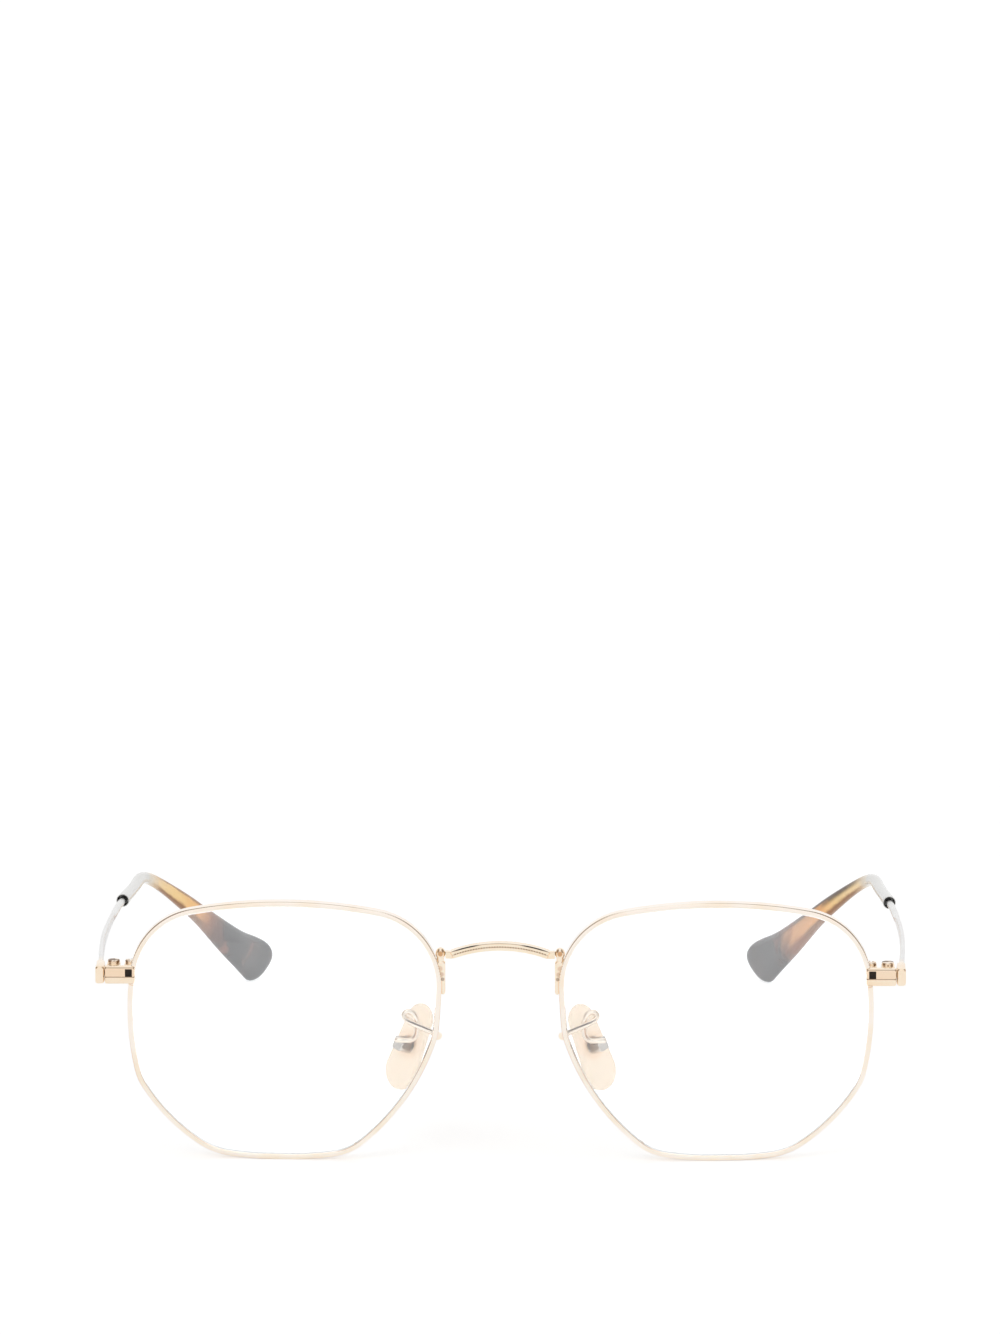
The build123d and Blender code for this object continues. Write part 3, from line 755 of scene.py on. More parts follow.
def bridge_painted_lines(tree):
    """Painted dark reflection on the top front edge, heavy at the shoulders, and a brown beaded line of
    painted shade in the front groove.
    """
    round_it = coordinates(tree, "UV")["Y"]
    aside = calculated(tree, "ABSOLUTE", coordinates(tree, "Object")["X"])
    shoulder = band(tree, aside, SHOULDER_X * MM, SHOULDER_REACH * MM)
    inside = rising(tree, aside, (BAND_HALF - 0.1) * MM, (BAND_HALF - 0.6) * MM)
    beads = calculated(tree, "COSINE", times(tree, aside, 2 * pi / (MILL_PITCH * MM)))
    beads = calculated(tree, "MULTIPLY_ADD", beads, 0.35, 0.6)
    bead_shade = times(tree, band(tree, round_it, BRIDGE_BEAD_SHADE, 0.032), inside)
    top_reflection = band(tree, round_it, BRIDGE_TOP_REFLECTION, 0.034, 0.55)
    shoulder_reflection = band(tree, round_it, BRIDGE_TOP_REFLECTION, 0.060)
    return [
        (times(tree, bead_shade, beads), BROWN),
        (times(tree, top_reflection, inside), BROWN),
        (times(tree, shoulder_reflection, shoulder), REFLECTION_BLACK),
    ]


def foot_shade_and_spots(tree):
    """Painted shade: a brown spot at the front of the ball that stands for a dimple, and brown spots near the
    top of the bar.
    """
    x, y, z = FOOT_BALL
    return [
        (spot(tree, (x, y - FOOT_BALL_RADIUS, z + 0.05), 0.60, 0.9), (0.62, 0.33, 0.14)),
        (spot(tree, (x + 0.10, y - 0.8, z - 2.5), 0.62, 0.40), (0.50, 0.27, 0.12)),
        (spot(tree, (x - 0.12, y - 0.8, z - 3.5), 0.60, 0.45), (0.42, 0.22, 0.11)),
        (spot(tree, (x - 0.35, y - 0.8, z - 4.3), 0.42, 0.6), (0.20, 0.11, 0.06)),
    ]


def endpiece_painted_shade(tree):
    """Painted shade: deeper peach on the upper facet and a brown line in the ridge's groove, and a painted
    dark reflection along the top edge.
    """
    up = coordinates(tree, "Object")["Z"]
    top = END_HIGH[2]
    above_ridge = rising(tree, up, RIDGE_Z * MM, (RIDGE_Z + 0.1) * MM, 0.6)
    below_edge = rising(tree, up, (top - 0.1) * MM, (top - 0.5) * MM)
    # painted shade on the upper facet and in the groove, painted dark reflection along the top edge
    return [
        (times(tree, above_ridge, below_edge), (0.90, 0.66, 0.46)),
        (band(tree, up, RIDGE_Z * MM, 0.12 * MM, 0.7), BROWN),
        (band(tree, up, (top - 0.22) * MM, 0.13 * MM, 0.5), BROWN),
    ]


def screw_painted_shade(tree):
    """Small dark patches of painted shade, as in the slots and edges of screw heads."""
    return [(rising(tree, noise(tree, Scale=1100.0, Detail=1.0), 0.52, 0.60, 0.85), BROWN)]


def arm_painted_reflections(tree):
    """Painted dark reflection along the wire's first run, and a brown line of painted shade down its inner
    side.
    """
    parts = coordinates(tree, "UV")
    first_run_reflection = times(tree, band(tree, parts["Y"], 0.60, 0.075), band(tree, parts["X"], 0.205, 0.12))
    # Brown line of painted shade down the inner side
    down = times(tree, band(tree, parts["Y"], 0.92, 0.09), band(tree, parts["X"], 0.66, 0.10, 0.8))
    return [(first_run_reflection, (0.10, 0.055, 0.035)), (down, (0.50, 0.24, 0.10))]


def bar_marks(tree):
    """Silver plate in place of gold behind the hinge."""
    behind = rising(tree, coordinates(tree, "Object")["Y"], (HINGE[1] + 1.0) * MM, (HINGE[1] + 7.0) * MM)
    return [(behind, plate(tree, SILVER, DEEP_SILVER, 0.15)["Color"])]


def lens_material():
    """Clear lens: glass with a faint white veil, open to the lamps."""
    material, tree, shader = new_material("clear_lens")
    shine = mapped(tree, noise(tree, Scale=90.0, Detail=2.0), 0.0, 1.0, 0.005, 0.03)
    values = {"Base Color": (0.96, 0.97, 0.98), "Roughness": shine, "IOR": 1.5, "Transmission Weight": 0.90}
    set_inputs(tree, shader, values)
    path = add(tree, "ShaderNodeLightPath")
    see_through(tree, shader, (0.93, 0.94, 0.95), path.outputs["Is Shadow Ray"])
    return material


def pad_material():
    """Soft clear pad: milky peach, faintly clouded, warmer round its metal box, and partly see-through."""
    material, tree, shader = new_material("pad_soft")
    milky = [(0.3, (1.0, 0.87, 0.76)), (0.7, (1.0, 0.93, 0.86))]
    colour = ramp(tree, noise(tree, Scale=260.0, Detail=2.0), milky)
    values = {
        "Base Color": tinted(tree, colour, spot(tree, PAD_AT, 3.4, 0.9), (0.95, 0.55, 0.30)),
        "Roughness": 0.22,
        "IOR": 1.41,
        "Subsurface Weight": 0.25,
        "Subsurface Radius": (0.0015, 0.001, 0.0007),
        "Subsurface Scale": 1.0,
    }
    set_inputs(tree, shader, values)
    see_through(tree, shader, (1.0, 0.915, 0.81), 0.71)
    return material


# Tortoise along the tip: pale sleeve, amber after the bend, brown, near black paddle
TORTOISE_STOPS = [
    (0.0, (0.62, 0.62, 0.61)),
    (0.42, (0.70, 0.69, 0.66)),
    (0.48, (1.0, 0.76, 0.46)),
    (0.56, (1.0, 0.70, 0.32)),
    (0.66, (1.0, 0.50, 0.18)),
    (0.73, (0.40, 0.15, 0.06)),
    (0.80, (0.014, 0.011, 0.011)),
    (1.0, (0.010, 0.010, 0.010)),
]
# How strong along the tip: painted shade at the edges of the amber, red clouds of the paddle
EDGE_SHADE_STOPS = [(0.44, 0.0), (0.52, 0.9), (0.70, 0.9), (0.80, 0.0)]
CLOUD_STOPS = [(0.62, 0.0), (0.73, 0.6), (0.84, 0.06)]


def tip_material():
    """Tortoise acetate, clouded, with painted shade at its edges and a faint painted glow. The left tip
    darkens sooner, and the right one has a darker upper edge.
    """
    material, tree, shader = new_material("tip_plastic")
    parts = coordinates(tree, "UV")
    side = coordinates(tree, "Object")["X"]
    left, right = rising(tree, side, 0.01, -0.01), rising(tree, side, -0.01, 0.01, 0.9)
    shade = noise(tree, Scale=150.0, Detail=4.0, Roughness=0.6, Distortion=0.8)
    sooner = times(tree, rising(tree, parts["X"], 0.56, 0.66, 0.065), left)
    along = calculated(tree, "ADD", calculated(tree, "MULTIPLY_ADD", shade, 0.10, parts["X"]), sooner)
    round_it = calculated(tree, "COSINE", times(tree, parts["Y"], 4 * pi))
    # Painted shade: darker towards the edges of the section
    edge_shade = rising(tree, calculated(tree, "MULTIPLY_ADD", shade, 1.6, round_it), 1.75, 0.85)
    reach = ramp(tree, along, EDGE_SHADE_STOPS)
    upper = times(tree, rising(tree, parts["Y"], 0.53, 0.44), right)
    patch = times(tree, band(tree, along, 0.69, 0.105, 0.85), rising(tree, round_it, 0.0, 0.9))
    clouds = times(tree, rising(tree, shade, 0.46, 0.62), ramp(tree, parts["X"], CLOUD_STOPS))
    colour = ramp(tree, along, TORTOISE_STOPS)
    for mask, tint in (
        (times(tree, edge_shade, reach), (0.30, 0.13, 0.06)),
        (times(tree, upper, reach), (0.05, 0.04, 0.04)),
        (times(tree, patch, right), (1.0, 0.50, 0.20)),
        (clouds, (0.42, 0.13, 0.06)),
    ):
        colour = tinted(tree, colour, mask, tint)
    values = {
        "Base Color": colour,
        # Painted glow: the acetate gives off a little light in its own colour
        "Emission Color": colour,
        "Emission Strength": 0.12,
        "Roughness": mapped(tree, shade, 0.0, 1.0, 0.14, 0.26),
        "Coat Weight": 0.5,
        "Coat Roughness": 0.06,
    }
    set_inputs(tree, shader, values)
    return material


def painted_shade_material():
    """Painted shade: black in the mouth of the sleeve and in the small recess of the endpiece."""
    material, tree, shader = new_material("painted_shade_recess")
    blacks = [(0.3, (0.012, 0.010, 0.008)), (0.7, (0.035, 0.025, 0.018))]
    values = {
        "Base Color": ramp(tree, noise(tree, Scale=900.0), blacks),
        "Roughness": 0.5,
        "Specular IOR Level": 0.2,
    }
    set_inputs(tree, shader, values)
    return material


GOLD = plated("gold_metal", PALE_GOLD, DEEP_GOLD, 0.08)
END_GOLD = plated("endpiece_gold", PALE_GOLD, DEEP_GOLD, 0.08, endpiece_painted_shade)
ARM_GOLD = plated("arm_gold", (0.985, 0.88, 0.76), (0.95, 0.79, 0.62), 0.08, arm_painted_reflections)
RIM_GOLD = plated("rim_gold", (0.985, 0.90, 0.81), (0.96, 0.83, 0.68), 0.08, rim_painted_reflection)
BRIDGE_GOLD = plated("bridge_gold", (0.97, 0.84, 0.67), (0.92, 0.74, 0.53), 0.08, bridge_painted_lines)
FOOT_GOLD = plated("foot_gold", (0.975, 0.86, 0.72), (0.94, 0.77, 0.57), 0.08, foot_shade_and_spots)
BAR_METAL = plated("temple_metal", PALE_GOLD, DEEP_GOLD, 0.15, bar_marks, relief=0.0)
PAD_METAL = plated("pad_metal", (0.90, 0.88, 0.85), (0.76, 0.73, 0.70), 0.12)
SCREW_GOLD = plated("screw_gold", (0.93, 0.80, 0.66), (0.80, 0.64, 0.47), 0.16, screw_painted_shade)
SCREW_STEEL = plated("screw_steel", (0.42, 0.33, 0.25), (0.28, 0.21, 0.15), 0.20)
LENS_CLEAR = lens_material()
PAD_SOFT = pad_material()
TORTOISE = tip_material()
SHADE_BLACK = painted_shade_material()


# Rims: a rounded section carried round the lens's outline, milled along its outer front edge

def rim_grid():
    """Outline plus the section's offset outwards, on the base curve plus its offset back, flat at the bottom.

    The milling is a cosine along the outline that draws in the outer front edge. The front is crowned."""
    length = sum(abs(reach * turn) for centre, reach, first, turn in outline_arcs())
    count = int(length / MILL_PITCH) * STEPS_PER_TICK
    points, normals = outline(count, END_LOW[2] - RIM_SPLIT_DROP, RIM_SPLIT_GAP)
    ties, faces = shape = ring(7, 5)
    half_across = np.full(count, (RIM_WEB + RIM_LIP) / 2)
    offsets = section(shape, half_across, RIM_DEPTH / 2, RIM_EDGE_RADIUS)
    edge = np.clip((-faces[:, 1] - 0.2) * 2, 0, 1) * np.clip(faces[:, 0] * 2, 0, 1)
    tick = 0.5 - 0.5 * np.cos(np.arange(count) / STEPS_PER_TICK * 2 * pi)
    offsets = offsets - faces * (edge * MILL_DEPTH)[None, :, None] * tick[:, None, None]
    crown = RIM_CROWN * (1 - ties[:, 0] ** 2) * (faces[:, 1] < -FLAT)
    outwards = offsets[..., 0] + (RIM_WEB - RIM_LIP) / 2
    x = points[:, None, 0] + normals[:, None, 0] * outwards
    z = points[:, None, 1] + normals[:, None, 1] * outwards
    z = np.maximum(z, RIM_WEB - outwards)
    y = front_y(x, z) + RIM_DEPTH / 2 + offsets[..., 1] - crown
    return np.stack([x, y, z], -1)


both_sides("rim", rim_grid(), RIM_GOLD, "front", "gold_metal")


# Lenses: the outline shrunk to its middle on two base curves, with a small bevel at the edge

def lens_grid():
    """From the middle of the front to the edge, across the edge and back to the middle of the back."""
    points, normals = outline(420)
    edge = points - normals * (RIM_LIP + LENS_SLACK)
    edge[:, 1] = np.maximum(edge[:, 1], RIM_WEB + RIM_LIP + LENS_SLACK)
    middle = np.array([LENS_X, LENS_Z])
    spread = np.sin(np.linspace(0.02, 1, 24) * pi / 2)
    back = LENS_SETBACK + LENS_THICKNESS
    rows = [(share, LENS_SETBACK, LENS_BEVEL) for share in spread]
    rows += [(1.0, LENS_SETBACK + LENS_BEVEL, 0.0), (1.0, back - LENS_BEVEL, 0.0)]
    rows += [(share, back, LENS_BEVEL) for share in spread[::-1]]
    grid = []
    for share, depth, inset in rows:
        x, z = (middle + (edge - normals * inset - middle) * share).T
        grid.append(np.stack([x, front_y(x, z) + depth, z], -1))
    return np.array(grid)


both_sides("lens", lens_grid(), LENS_CLEAR, "front", "clear_lens", sharp=30)


# Bridge: necks and an arched, engraved band, bowed forwards

def arc_radius(half, rise):
    """Radius of the arc over a chord: half of the chord squared over twice the rise, plus half the rise."""
    return half**2 / (2 * rise) + rise / 2


def bridge_grid():
    """Rounded strip along an arch, thicker in the band, with ticks on top and a beaded groove in front."""
    count = int(2 * BRIDGE_HALF / MILL_PITCH * BRIDGE_STEPS_PER_TICK)
    x = np.linspace(-BRIDGE_HALF, BRIDGE_HALF, count)
    arch, bow = arc_radius(BAND_HALF, BRIDGE_RISE), arc_radius(BRIDGE_HALF, BRIDGE_BOW)
    z = BRIDGE_Z + BRIDGE_RISE - arch + np.sqrt(arch**2 - np.clip(abs(x), 0, BAND_HALF) ** 2)
    y = BRIDGE_FRONT + NECK_HALF[0] + BAND_MORE[0] + bow - np.sqrt(bow**2 - x**2)
    engraved = smooth_step((BAND_HALF - abs(x)) / BAND_FADE)
    ties, faces = shape = ring(9, 5)
    half_deep, half_high = (neck + more * engraved for neck, more in zip(NECK_HALF, BAND_MORE))
    offsets = section(shape, half_deep, half_high, BRIDGE_EDGE_RADIUS)
    top = (faces[:, 1] > FLAT) * (1 - ties[:, 0] ** 4)
    front = (faces[:, 0] < -FLAT) * np.exp(-(((ties[:, 1] - GROOVE_AT) / GROOVE_WIDTH) ** 2))
    tick = (0.5 - 0.5 * np.cos(x / MILL_PITCH * 2 * pi))[:, None]
    cut = (top * tick * TICK_DEPTH + front * (GROOVE_DEPTH + BEAD_DEPTH * tick)) * engraved[:, None]
    offsets = offsets - faces * cut[..., None]
    centres = np.stack([x, y, z], -1)
    along = np.gradient(centres, axis=0)
    up = unit(np.stack([-along[:, 2], 0 * x, along[:, 0]], -1))
    return carried(centres, fixed_axis(BACKWARDS, x), up, offsets)


surface("bridge_looks", bridge_grid(), BRIDGE_GOLD, "front", "gold_metal", "bridge")


# Feet of the bridge: a slim bar beside each rim with a ball on top

def foot_grid():
    """Rows upwards: a bar that narrows at its lower end, a seam, a short neck, and a ball at the bridge."""
    low, high = FOOT_LOW, FOOT_HIGH
    bar_top = FOOT_SEAM - FOOT_SEAM_HALF
    ball_bottom = FOOT_SEAM + FOOT_SEAM_HALF
    z = np.concatenate([np.linspace(low[2], bar_top, 40), np.linspace(ball_bottom, high[2], 40)])
    points, normals = outline(900)
    edge = points + normals * RIM_WEB
    nasal = edge[edge[:, 0] < LENS_X]
    nasal = nasal[np.argsort(nasal[:, 1])]
    outer = np.interp(z, nasal[:, 1], nasal[:, 0]) + FOOT_LAP
    inner = low[0] + 0.02
    ball = z > FOOT_SEAM
    tall = high[2] - FOOT_BALL[2]
    profile = FOOT_BALL_RADIUS * np.sqrt(np.clip(1 - ((z - FOOT_BALL[2]) / tall) ** 2, 0, 1))
    profile = np.where(z < FOOT_BALL[2], np.maximum(profile, FOOT_NECK), profile)
    draw = rounding(z - low[2], FOOT_ROUNDS[0])
    draw = draw + np.where(ball, 0, rounding(bar_top - z, FOOT_ROUNDS[1]))
    half_bar = np.maximum((outer - inner) / 2 - draw * FOOT_DRAWN[0], FOOT_LEAST)
    half_across = np.where(ball, np.maximum(profile, 0.05), half_bar)
    bar_deep = (high[1] - low[1]) / 2 - FOOT_SHALLOWER - draw * FOOT_DRAWN[1]
    half_deep = np.where(ball, np.maximum(profile, 0.05), bar_deep)
    middle_x = np.where(ball, FOOT_BALL[0], (inner + outer) / 2)
    centres = np.stack([middle_x, np.full(len(z), FOOT_BALL[1]), z], -1)
    radius = np.minimum(half_across, np.where(ball, half_deep, FOOT_EDGE_RADIUS)) * 0.98
    offsets = section(ring(3, 7), half_across, half_deep, radius)
    return carried(centres, fixed_axis(OUTWARDS, z), fixed_axis(BACKWARDS, z), offsets)


both_sides("bridge_foot", foot_grid(), FOOT_GOLD, "front", "gold_metal", sharp=55)


# Endpieces: a crowned block with a fine ridge line and a small recess beside the rim, painted black as shade

def endpiece_grid():
    """Rows outwards along X: rounded rectangles with a crowned front, its groove and a recess at the rim."""
    low, high = END_LOW[0], END_HIGH[0]
    ends = low + np.linspace(0, 0.5, 8), high - 0.3 + np.linspace(0.03, 0.3, 8)
    x = np.concatenate([ends[0], np.linspace(low + 0.55, high - 0.3, 60), ends[1]])
    middle = (END_LOW + END_HIGH) / 2
    half = (END_HIGH - END_LOW) / 2
    draw = rounding(x - low, END_ROUNDS[0]) + rounding(high - x, END_ROUNDS[1])
    ties, faces = shape = ring(27, 6)
    offsets = section(shape, half[1] - draw, half[2] - draw, END_RADIUS)
    front = (faces[:, 0] < -FLAT).astype(float)
    height = ties[:, 1] * (half[2] - END_RADIUS)
    ridge = front * np.exp(-(((height + RIDGE_DROP) / RIDGE_WIDTH) ** 2)) * RIDGE_DEPTH
    crown = front * END_CROWN * (1 - (height / half[2]) ** 2)
    recess_x = (x > low + RECESS_X[0]) & (x < low + RECESS_X[1])
    recess = recess_x[:, None] * (front * (height > RECESS_Z[0]) * (height < RECESS_Z[1]))[None]
    edge_fade = np.clip((x - low) / END_FADES[0], 0, 1) * np.clip((high - x) / END_FADES[1], 0, 1)
    lift = crown[None] * edge_fade[:, None] - ridge[None] - recess * RECESS_DEPTH
    offsets = offsets + faces * lift[..., None]
    centres = np.stack([x, np.full(len(x), middle[1]), np.full(len(x), middle[2])], -1)
    after = (np.arange(len(ties)) + 1) % len(ties)
    # Faces of the recess, painted black as shade
    shade_faces = (recess[:-1] > 0) & (recess[1:] > 0) & (recess[:-1][:, after] > 0)
    return carried(centres, fixed_axis(BACKWARDS, x), fixed_axis(UPWARDS, x), offsets), shade_faces


END_GRID, END_SHADE_FACES = endpiece_grid()
both_sides("endpiece", END_GRID, END_GOLD, "front", "gold_metal", odd=END_SHADE_FACES, odd_finish=SHADE_BLACK)


# Temples: butt, strip and wire in one bar, and the tip sleeve

TEMPLE_X = END_HIGH[0] + TEMPLE_GAP + BAR_SIZES[0][1] / 2
TEMPLE_LENGTH, temple_at = smooth_line(
    [
        (TEMPLE_X - inward * TEMPLE_INSET, HINGE[1] + back * TEMPLE_REACH, HINGE[2] - down * TEMPLE_DROP)
        for back, inward, down in TEMPLE_SHARES
    ]
)


def temple_centres(distance):
    """The temple line by distance from the hinge, carried straight forwards before it."""
    centres = temple_at(np.clip(distance, 0, None))
    before = np.clip(distance, None, 0)
    centres[:, 1] += before
    return centres


def bar_grid():
    """Rounded rectangles along the temple line, from the butt's crowned face to the wire inside the tip."""
    start = END_LOW[1] + TEMPLE_GAP - HINGE[1]
    butt = start + BUTT_CROWN * (1 - np.cos(np.linspace(0, pi / 2, 9)))
    strip, wire = np.linspace(start + BUTT_CROWN + 0.05, 8, 60), np.linspace(8.4, BAR_SIZES[-1][0], 170)
    distance = np.concatenate([butt, strip, wire])
    half_thick = eased(BAR_SIZES, 1, distance) / 2
    half_high = eased(BAR_SIZES, 2, distance) / 2
    draw = rounding(distance - start, BUTT_CROWN)
    radius = np.minimum(eased(BAR_SIZES, 3, distance), half_thick - draw)
    offsets = section(ring(6, 6), half_thick - draw, half_high - draw, radius)
    centres = temple_centres(distance)
    level, up = level_axes(centres)
    share = np.clip(distance / BAR_TURN, 0, 1)[:, None]
    level = OUTWARDS * (1 - share) + level * share
    up = UPWARDS * (1 - share) + up * share
    return carried(centres, level, up, offsets)


both_sides("temple_bar", bar_grid(), BAR_METAL, "temple", "gold_metal")


def tip_grid():
    """Ovals along the temple line: a hollow mouth, a sleeve round the wire, and a paddle with a round end.

    The end is slanted, with its upper corner further out, and the paddle is lowered to stand on the floor."""
    start = TIP_START_SHARE * TEMPLE_LENGTH
    mouth = np.linspace(start + TIP_MOUTH_DEPTH, start + 0.06, 10)
    lip = np.full(6, start)
    sleeve = np.linspace(start + 0.15, TEMPLE_LENGTH - TIP_CLOSE_ROWS, 150)
    paddle = TEMPLE_LENGTH - TIP_CLOSE_ROWS * np.cos(np.linspace(0.03, 1, 34) * pi / 2)
    paddle[-1] = TEMPLE_LENGTH - 0.002
    distance = np.concatenate([mouth, lip, sleeve, paddle])
    share = distance / TEMPLE_LENGTH
    left = TEMPLE_LENGTH - distance
    narrow = (1 - np.clip(1 - left / TIP_CLOSE_WIDTH, 0, 1) ** TIP_CLOSE_POWER) ** (1 / TIP_CLOSE_POWER)
    thin = np.sqrt(1 - np.clip(1 - left / TIP_CLOSE_THICKNESS, 0, 1) ** 2)
    half_wide = eased(TIP_SIZES, 2, share) / 2 * narrow
    half_thick = eased(TIP_SIZES, 1, share) / 2 * thin
    bore = TIP_MOUTH_BORE / 2
    wall = np.concatenate([np.full(len(mouth), bore), np.linspace(bore, TIP_MOUTH_RADIUS, len(lip))])
    half_thick[: len(wall)] = half_wide[: len(wall)] = wall
    line = np.linspace(start - 2, TEMPLE_LENGTH, 800)
    level, up = (
        np.stack([np.interp(distance, line, axis[:, i]) for i in range(3)], -1)
        for axis in level_axes(temple_centres(line))
    )
    circle = directions(full_turn(48))
    power = 1 - TIP_SQUARE * np.clip((share - TIP_SQUARE_FROM) / TIP_SQUARE_OVER, 0, 1)[:, None, None]
    oval = np.sign(circle) * abs(circle) ** power
    offsets = np.stack([half_thick, half_wide], -1)[:, None] * oval
    grid = carried(temple_centres(distance), level, up, offsets)
    slant = TIP_SLANT * np.clip(1 - left / TIP_SLANT_LENGTH, 0, 1)
    further = slant[:, None] * (offsets[..., 1] - TIP_SLANT_PIVOT)
    grid += further[..., None] * np.cross(up, level)[:, None]
    settle = smooth_step((share - TIP_SETTLE[0]) / (TIP_SETTLE[1] - TIP_SETTLE[0]))
    grid[..., 2] -= (grid[..., 2].min() * settle)[:, None]
    # Faces of the mouth and its lip, painted black as shade
    shade_faces = np.zeros((len(distance) - 1, len(circle)), bool)
    shade_faces[: len(mouth) + 2] = True
    return grid, shade_faces


TIP_GRID, TIP_SHADE_FACES = tip_grid()
both_sides("temple_tip", TIP_GRID, TORTOISE, "temple", "tip_plastic", odd=TIP_SHADE_FACES, odd_finish=SHADE_BLACK, sharp=60)


# Nose pads and their arms

def turned_about_y(vector, angle):
    """A vector turned about Y by an angle in degrees."""
    x, y, z = vector
    a = radians(angle)
    return np.array([x * cos(a) + z * sin(a), y, -x * sin(a) + z * cos(a)])


SPLAY_SIN, SPLAY_COS = sin(radians(PAD_SPLAY)), cos(radians(PAD_SPLAY))
PAD_LEVEL = turned_about_y((SPLAY_SIN, SPLAY_COS, 0), -PAD_TILT)
PAD_NORMAL = turned_about_y((-SPLAY_COS, SPLAY_SIN, 0), -PAD_TILT)
PAD_ALONG = np.cross(PAD_NORMAL, PAD_LEVEL)
PAD_UP = 1 if PAD_ALONG[2] > 0 else -1


def pad_grid():
    """Hull of two circles shrunk to its middle, on a round crown at the back and a flatter one in front."""
    angle = full_turn(96)
    lean = (PAD_BOTTOM_RADIUS - PAD_TOP_RADIUS) / PAD_CENTRES_GAP
    upper = np.sin(angle) > lean
    radius = np.where(upper, PAD_TOP_RADIUS, PAD_BOTTOM_RADIUS)
    centre = np.where(upper, PAD_CENTRES_GAP / 2, -PAD_CENTRES_GAP / 2)
    across_pad = (radius * np.cos(angle))[:, None] * PAD_LEVEL
    along_pad = ((centre + radius * np.sin(angle)) * PAD_UP)[:, None] * PAD_ALONG
    spread = np.sin(np.linspace(0.04, 1, 30) * pi / 2)[:-1]
    half = PAD_THICKNESS / 2
    (back, back_root), (front, front_root) = PAD_CROWNS
    rows = [(share, -half * (1 - share**back) ** (1 / back_root)) for share in spread] + [(1.0, 0.0)]
    rows += [(share, half * (1 - share**front) ** (1 / front_root)) for share in spread[::-1]]
    return np.array([PAD_AT + (across_pad + along_pad) * share + lift * PAD_NORMAL for share, lift in rows])


both_sides("nose_pad", pad_grid(), PAD_SOFT, "pad", "pad_soft", sharp=80)


def arm_grid():
    """Round wire along a quadratic B-spline of the route's points, thicker where it meets the rim."""
    foot_x = LENS_GAP / 2 + (RIM_LIP - RIM_WEB) / 2
    foot = np.array([foot_x, front_y(foot_x, ARM_FOOT_Z) + RIM_DEPTH + 0.02, ARM_FOOT_Z])
    box_far = PAD_THICKNESS / 2 + BOX_GAP + BOX_DEPTH
    end = PAD_AT - PAD_NORMAL * box_far + PAD_ALONG * PAD_UP * BOX_RISE
    span = end - foot
    route = [foot + (a * span[0], b * span[1], u * ARM_RISE) for a, b, u in ARM_SHARES]
    route += [end - PAD_NORMAL * ARM_WIRE, end - PAD_NORMAL * 0.02]
    route = np.array([2 * route[0] - route[1]] + route + [2 * route[-1] - route[-2]])
    t = np.linspace(0, 1, 14, endpoint=False)[:, None]
    parts = [
        (a * (1 - t) ** 2 + b * (1 + 2 * t - 2 * t**2) + c * t**2) / 2
        for a, b, c in zip(route, route[1:], route[2:])
    ]
    centres = np.concatenate(parts + [[(route[-2] + route[-1]) / 2]])
    centres = centres[np.argmin(np.linalg.norm(centres - foot, axis=1)):]
    centres = centres[: np.argmin(np.linalg.norm(centres - end, axis=1)) + 1]
    along = unit(np.gradient(centres, axis=0))
    side = unit(np.cross(along, (1.0, 0.0, 0.3)))
    radius = ARM_WIRE / 2 * (1 + ARM_SWELL * np.exp(-((travelled(centres) / ARM_SWELL_LENGTH) ** 2)))
    offsets = radius[:, None, None] * directions(full_turn(20))
    return carried(centres, side, np.cross(along, side), offsets)


both_sides("pad_arm", arm_grid(), ARM_GOLD, "front", "gold_metal")


# Finishes of the CAD pieces that stay

KEPT_FINISHES = {
    "rim_lock_upper": GOLD,
    "rim_lock_lower": GOLD,
    "rim_lock_screw": SCREW_GOLD,
    "front_hinge_leaf": GOLD,
    "temple_hinge_leaf": GOLD,
    "hinge_screw": SCREW_GOLD,
    "pad_box": PAD_METAL,
    "pad_stud": PAD_METAL,
    "pad_screw": SCREW_STEEL,
}
for side in SIDES:
    for name, finish in KEPT_FINISHES.items():
        for slot in nodes[side + "_" + name].material_slots:
            slot.material = finish


# Floor, world and lamps

def floor_glow(tree):
    """Strength that makes the floor white: less for the camera near the object, so that its shadow stays."""
    seen = add(tree, "ShaderNodeLightPath").outputs
    place = add(tree, "ShaderNodeTexCoord").outputs["Object"]
    far = compared(tree, "DISTANCE", place, (0, 0, 0))
    level = rising(tree, far, *GLOW_RANGE, GLOW_FAR - GLOW_NEAR)
    total = times(tree, seen["Is Camera Ray"], calculated(tree, "ADD", level, GLOW_NEAR))
    for name, strength in (("Is Transmission Ray", GLOW_THROUGH_GLASS), ("Is Glossy Ray", GLOW_IN_METAL)):
        total = calculated(tree, "MAXIMUM", total, times(tree, seen[name], strength))
    return total


def floor():
    """Large pale disc that takes soft shadows and looks white where nothing shades it."""
    mesh = bpy.data.meshes.new("floor")
    disc = [(FLOOR_RADIUS * x, FLOOR_RADIUS * y, 0) for x, y in directions(full_turn(64))]
    mesh.from_pydata(disc, [], [list(range(len(disc)))])
    material, tree, shader = new_material("floor_paper")
    values = {
        "Base Color": (0.93, 0.93, 0.93),
        "Roughness": 0.9,
        "Specular IOR Level": 0.1,
        "Emission Color": (1, 1, 1),
        "Emission Strength": floor_glow(tree),
    }
    set_inputs(tree, shader, values)
    mesh.materials.append(material)
    paper = placed("floor", mesh)


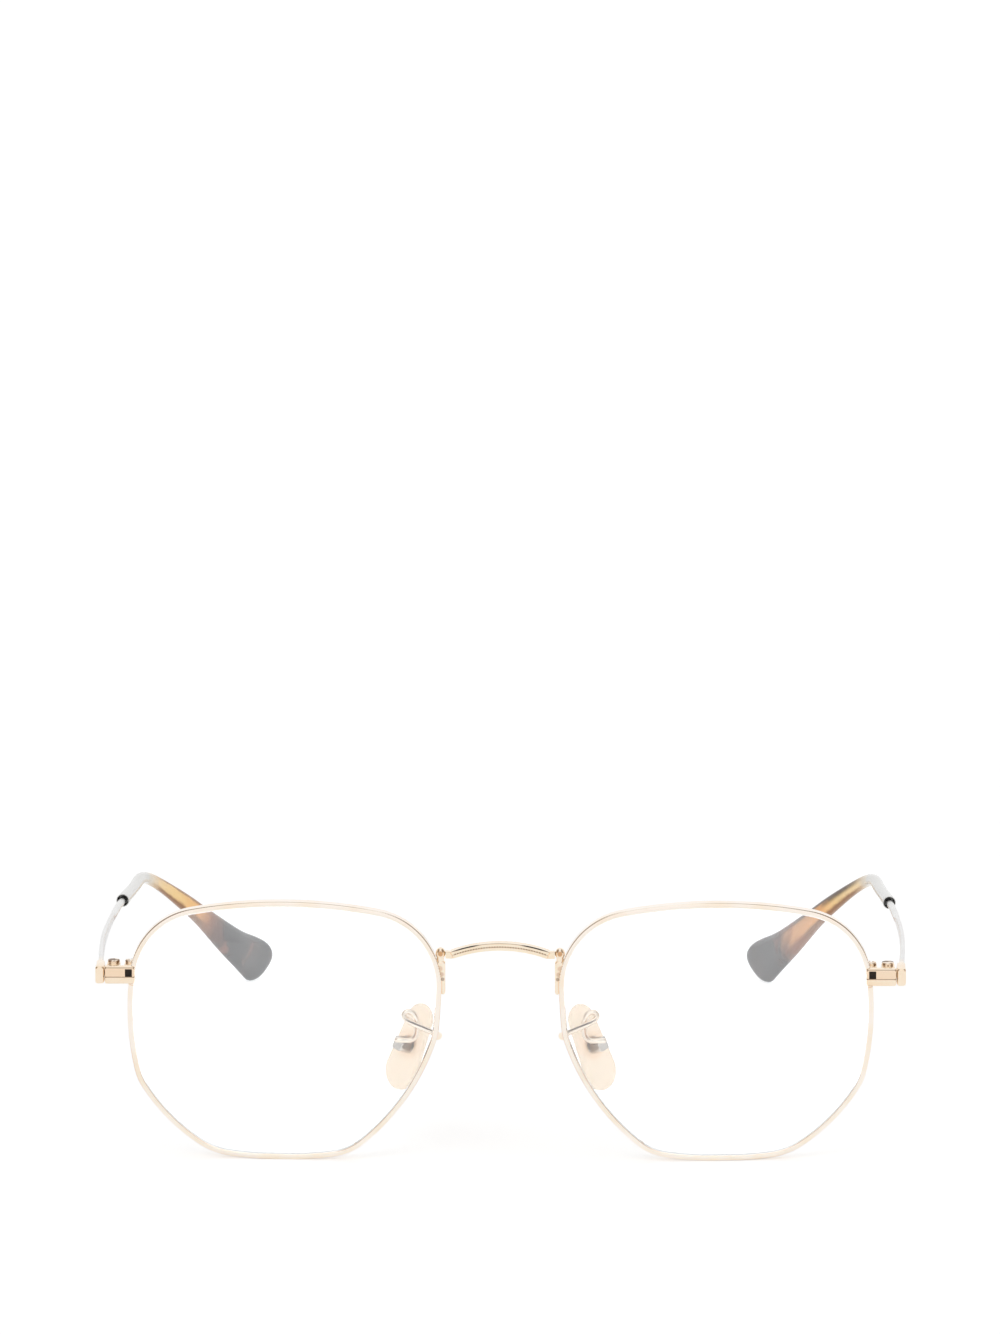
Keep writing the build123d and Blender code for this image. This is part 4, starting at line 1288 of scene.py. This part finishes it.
def world():
    """White to the camera and through glass. Reflections see brown at both sides too, for lines on metal."""
    sky = bpy.data.worlds.new("studio")
    bpy.context.scene.world = sky
    sky.use_nodes = True
    tree = sky.node_tree
    rays = add(tree, "ShaderNodeLightPath").outputs
    near = compared(tree, "DOT_PRODUCT", either_side(tree, "Generated"), CEILING)
    ceiling = times(tree, rising(tree, near, *CEILING_EDGE), rays["Is Glossy Ray"])
    seen = calculated(tree, "MAXIMUM", rays["Is Camera Ray"], rays["Is Transmission Ray"])
    seen = calculated(tree, "MAXIMUM", seen, rays["Is Glossy Ray"])
    level = add(tree, "ShaderNodeMix", Factor=seen, A=WORLD_LIGHT, B=1.0)
    values = {"Color": tinted(tree, (1, 1, 1), ceiling, CEILING_COLOUR), "Strength": level.outputs["Result"]}
    set_inputs(tree, tree.nodes["Background"], values)


def lamp(name, place, size, power):
    """Soft square lamp that faces the middle of the object."""
    data = bpy.data.lights.new(name, "AREA")
    data.shape = "SQUARE"
    data.size = size
    data.energy = power
    light = placed(name, data)
    light.location = place
    aim = Vector(LAMPS_FACE) - Vector(place)
    light.rotation_euler = aim.to_track_quat("-Z", "Y").to_euler()
    light.visible_glossy = False


def camera():
    """Looks from the photograph's side and height, tilted up so that the object sits low in the frame."""
    target = Vector((0, FRONT_Y * MM, LOOK_AT_HEIGHT * MM))
    azimuth, elevation = radians(CAMERA_AZIMUTH), radians(CAMERA_ELEVATION)
    back = Vector((sin(azimuth) * cos(elevation), -cos(azimuth) * cos(elevation), sin(elevation)))
    data = bpy.data.cameras.new("camera")
    data.sensor_fit = "AUTO"
    data.sensor_width = SENSOR
    data.lens = FOCAL_PIXELS / max(PHOTO_SIZE) * SENSOR
    data.clip_start = 0.05
    data.clip_end = 50
    seen = placed("camera", data)
    turn = (-back).to_track_quat("-Z", "Y").to_matrix()
    tilt = atan((LOOK_AT_PIXEL[1] - PHOTO_SIZE[1] / 2) / FOCAL_PIXELS)
    pan = atan((LOOK_AT_PIXEL[0] - PHOTO_SIZE[0] / 2) / FOCAL_PIXELS)
    turn = turn @ Matrix.Rotation(tilt, 3, "X") @ Matrix.Rotation(pan, 3, "Y")
    seen.rotation_mode = "QUATERNION"
    seen.rotation_quaternion = turn.to_quaternion()
    seen.location = target + back * CAMERA_DISTANCE * MM
    bpy.context.scene.camera = seen


world()
floor()
for name, (place, size, power) in LAMPS.items():
    lamp(name, place, size, power)
camera()
bpy.context.scene.view_settings.view_transform = "Standard"
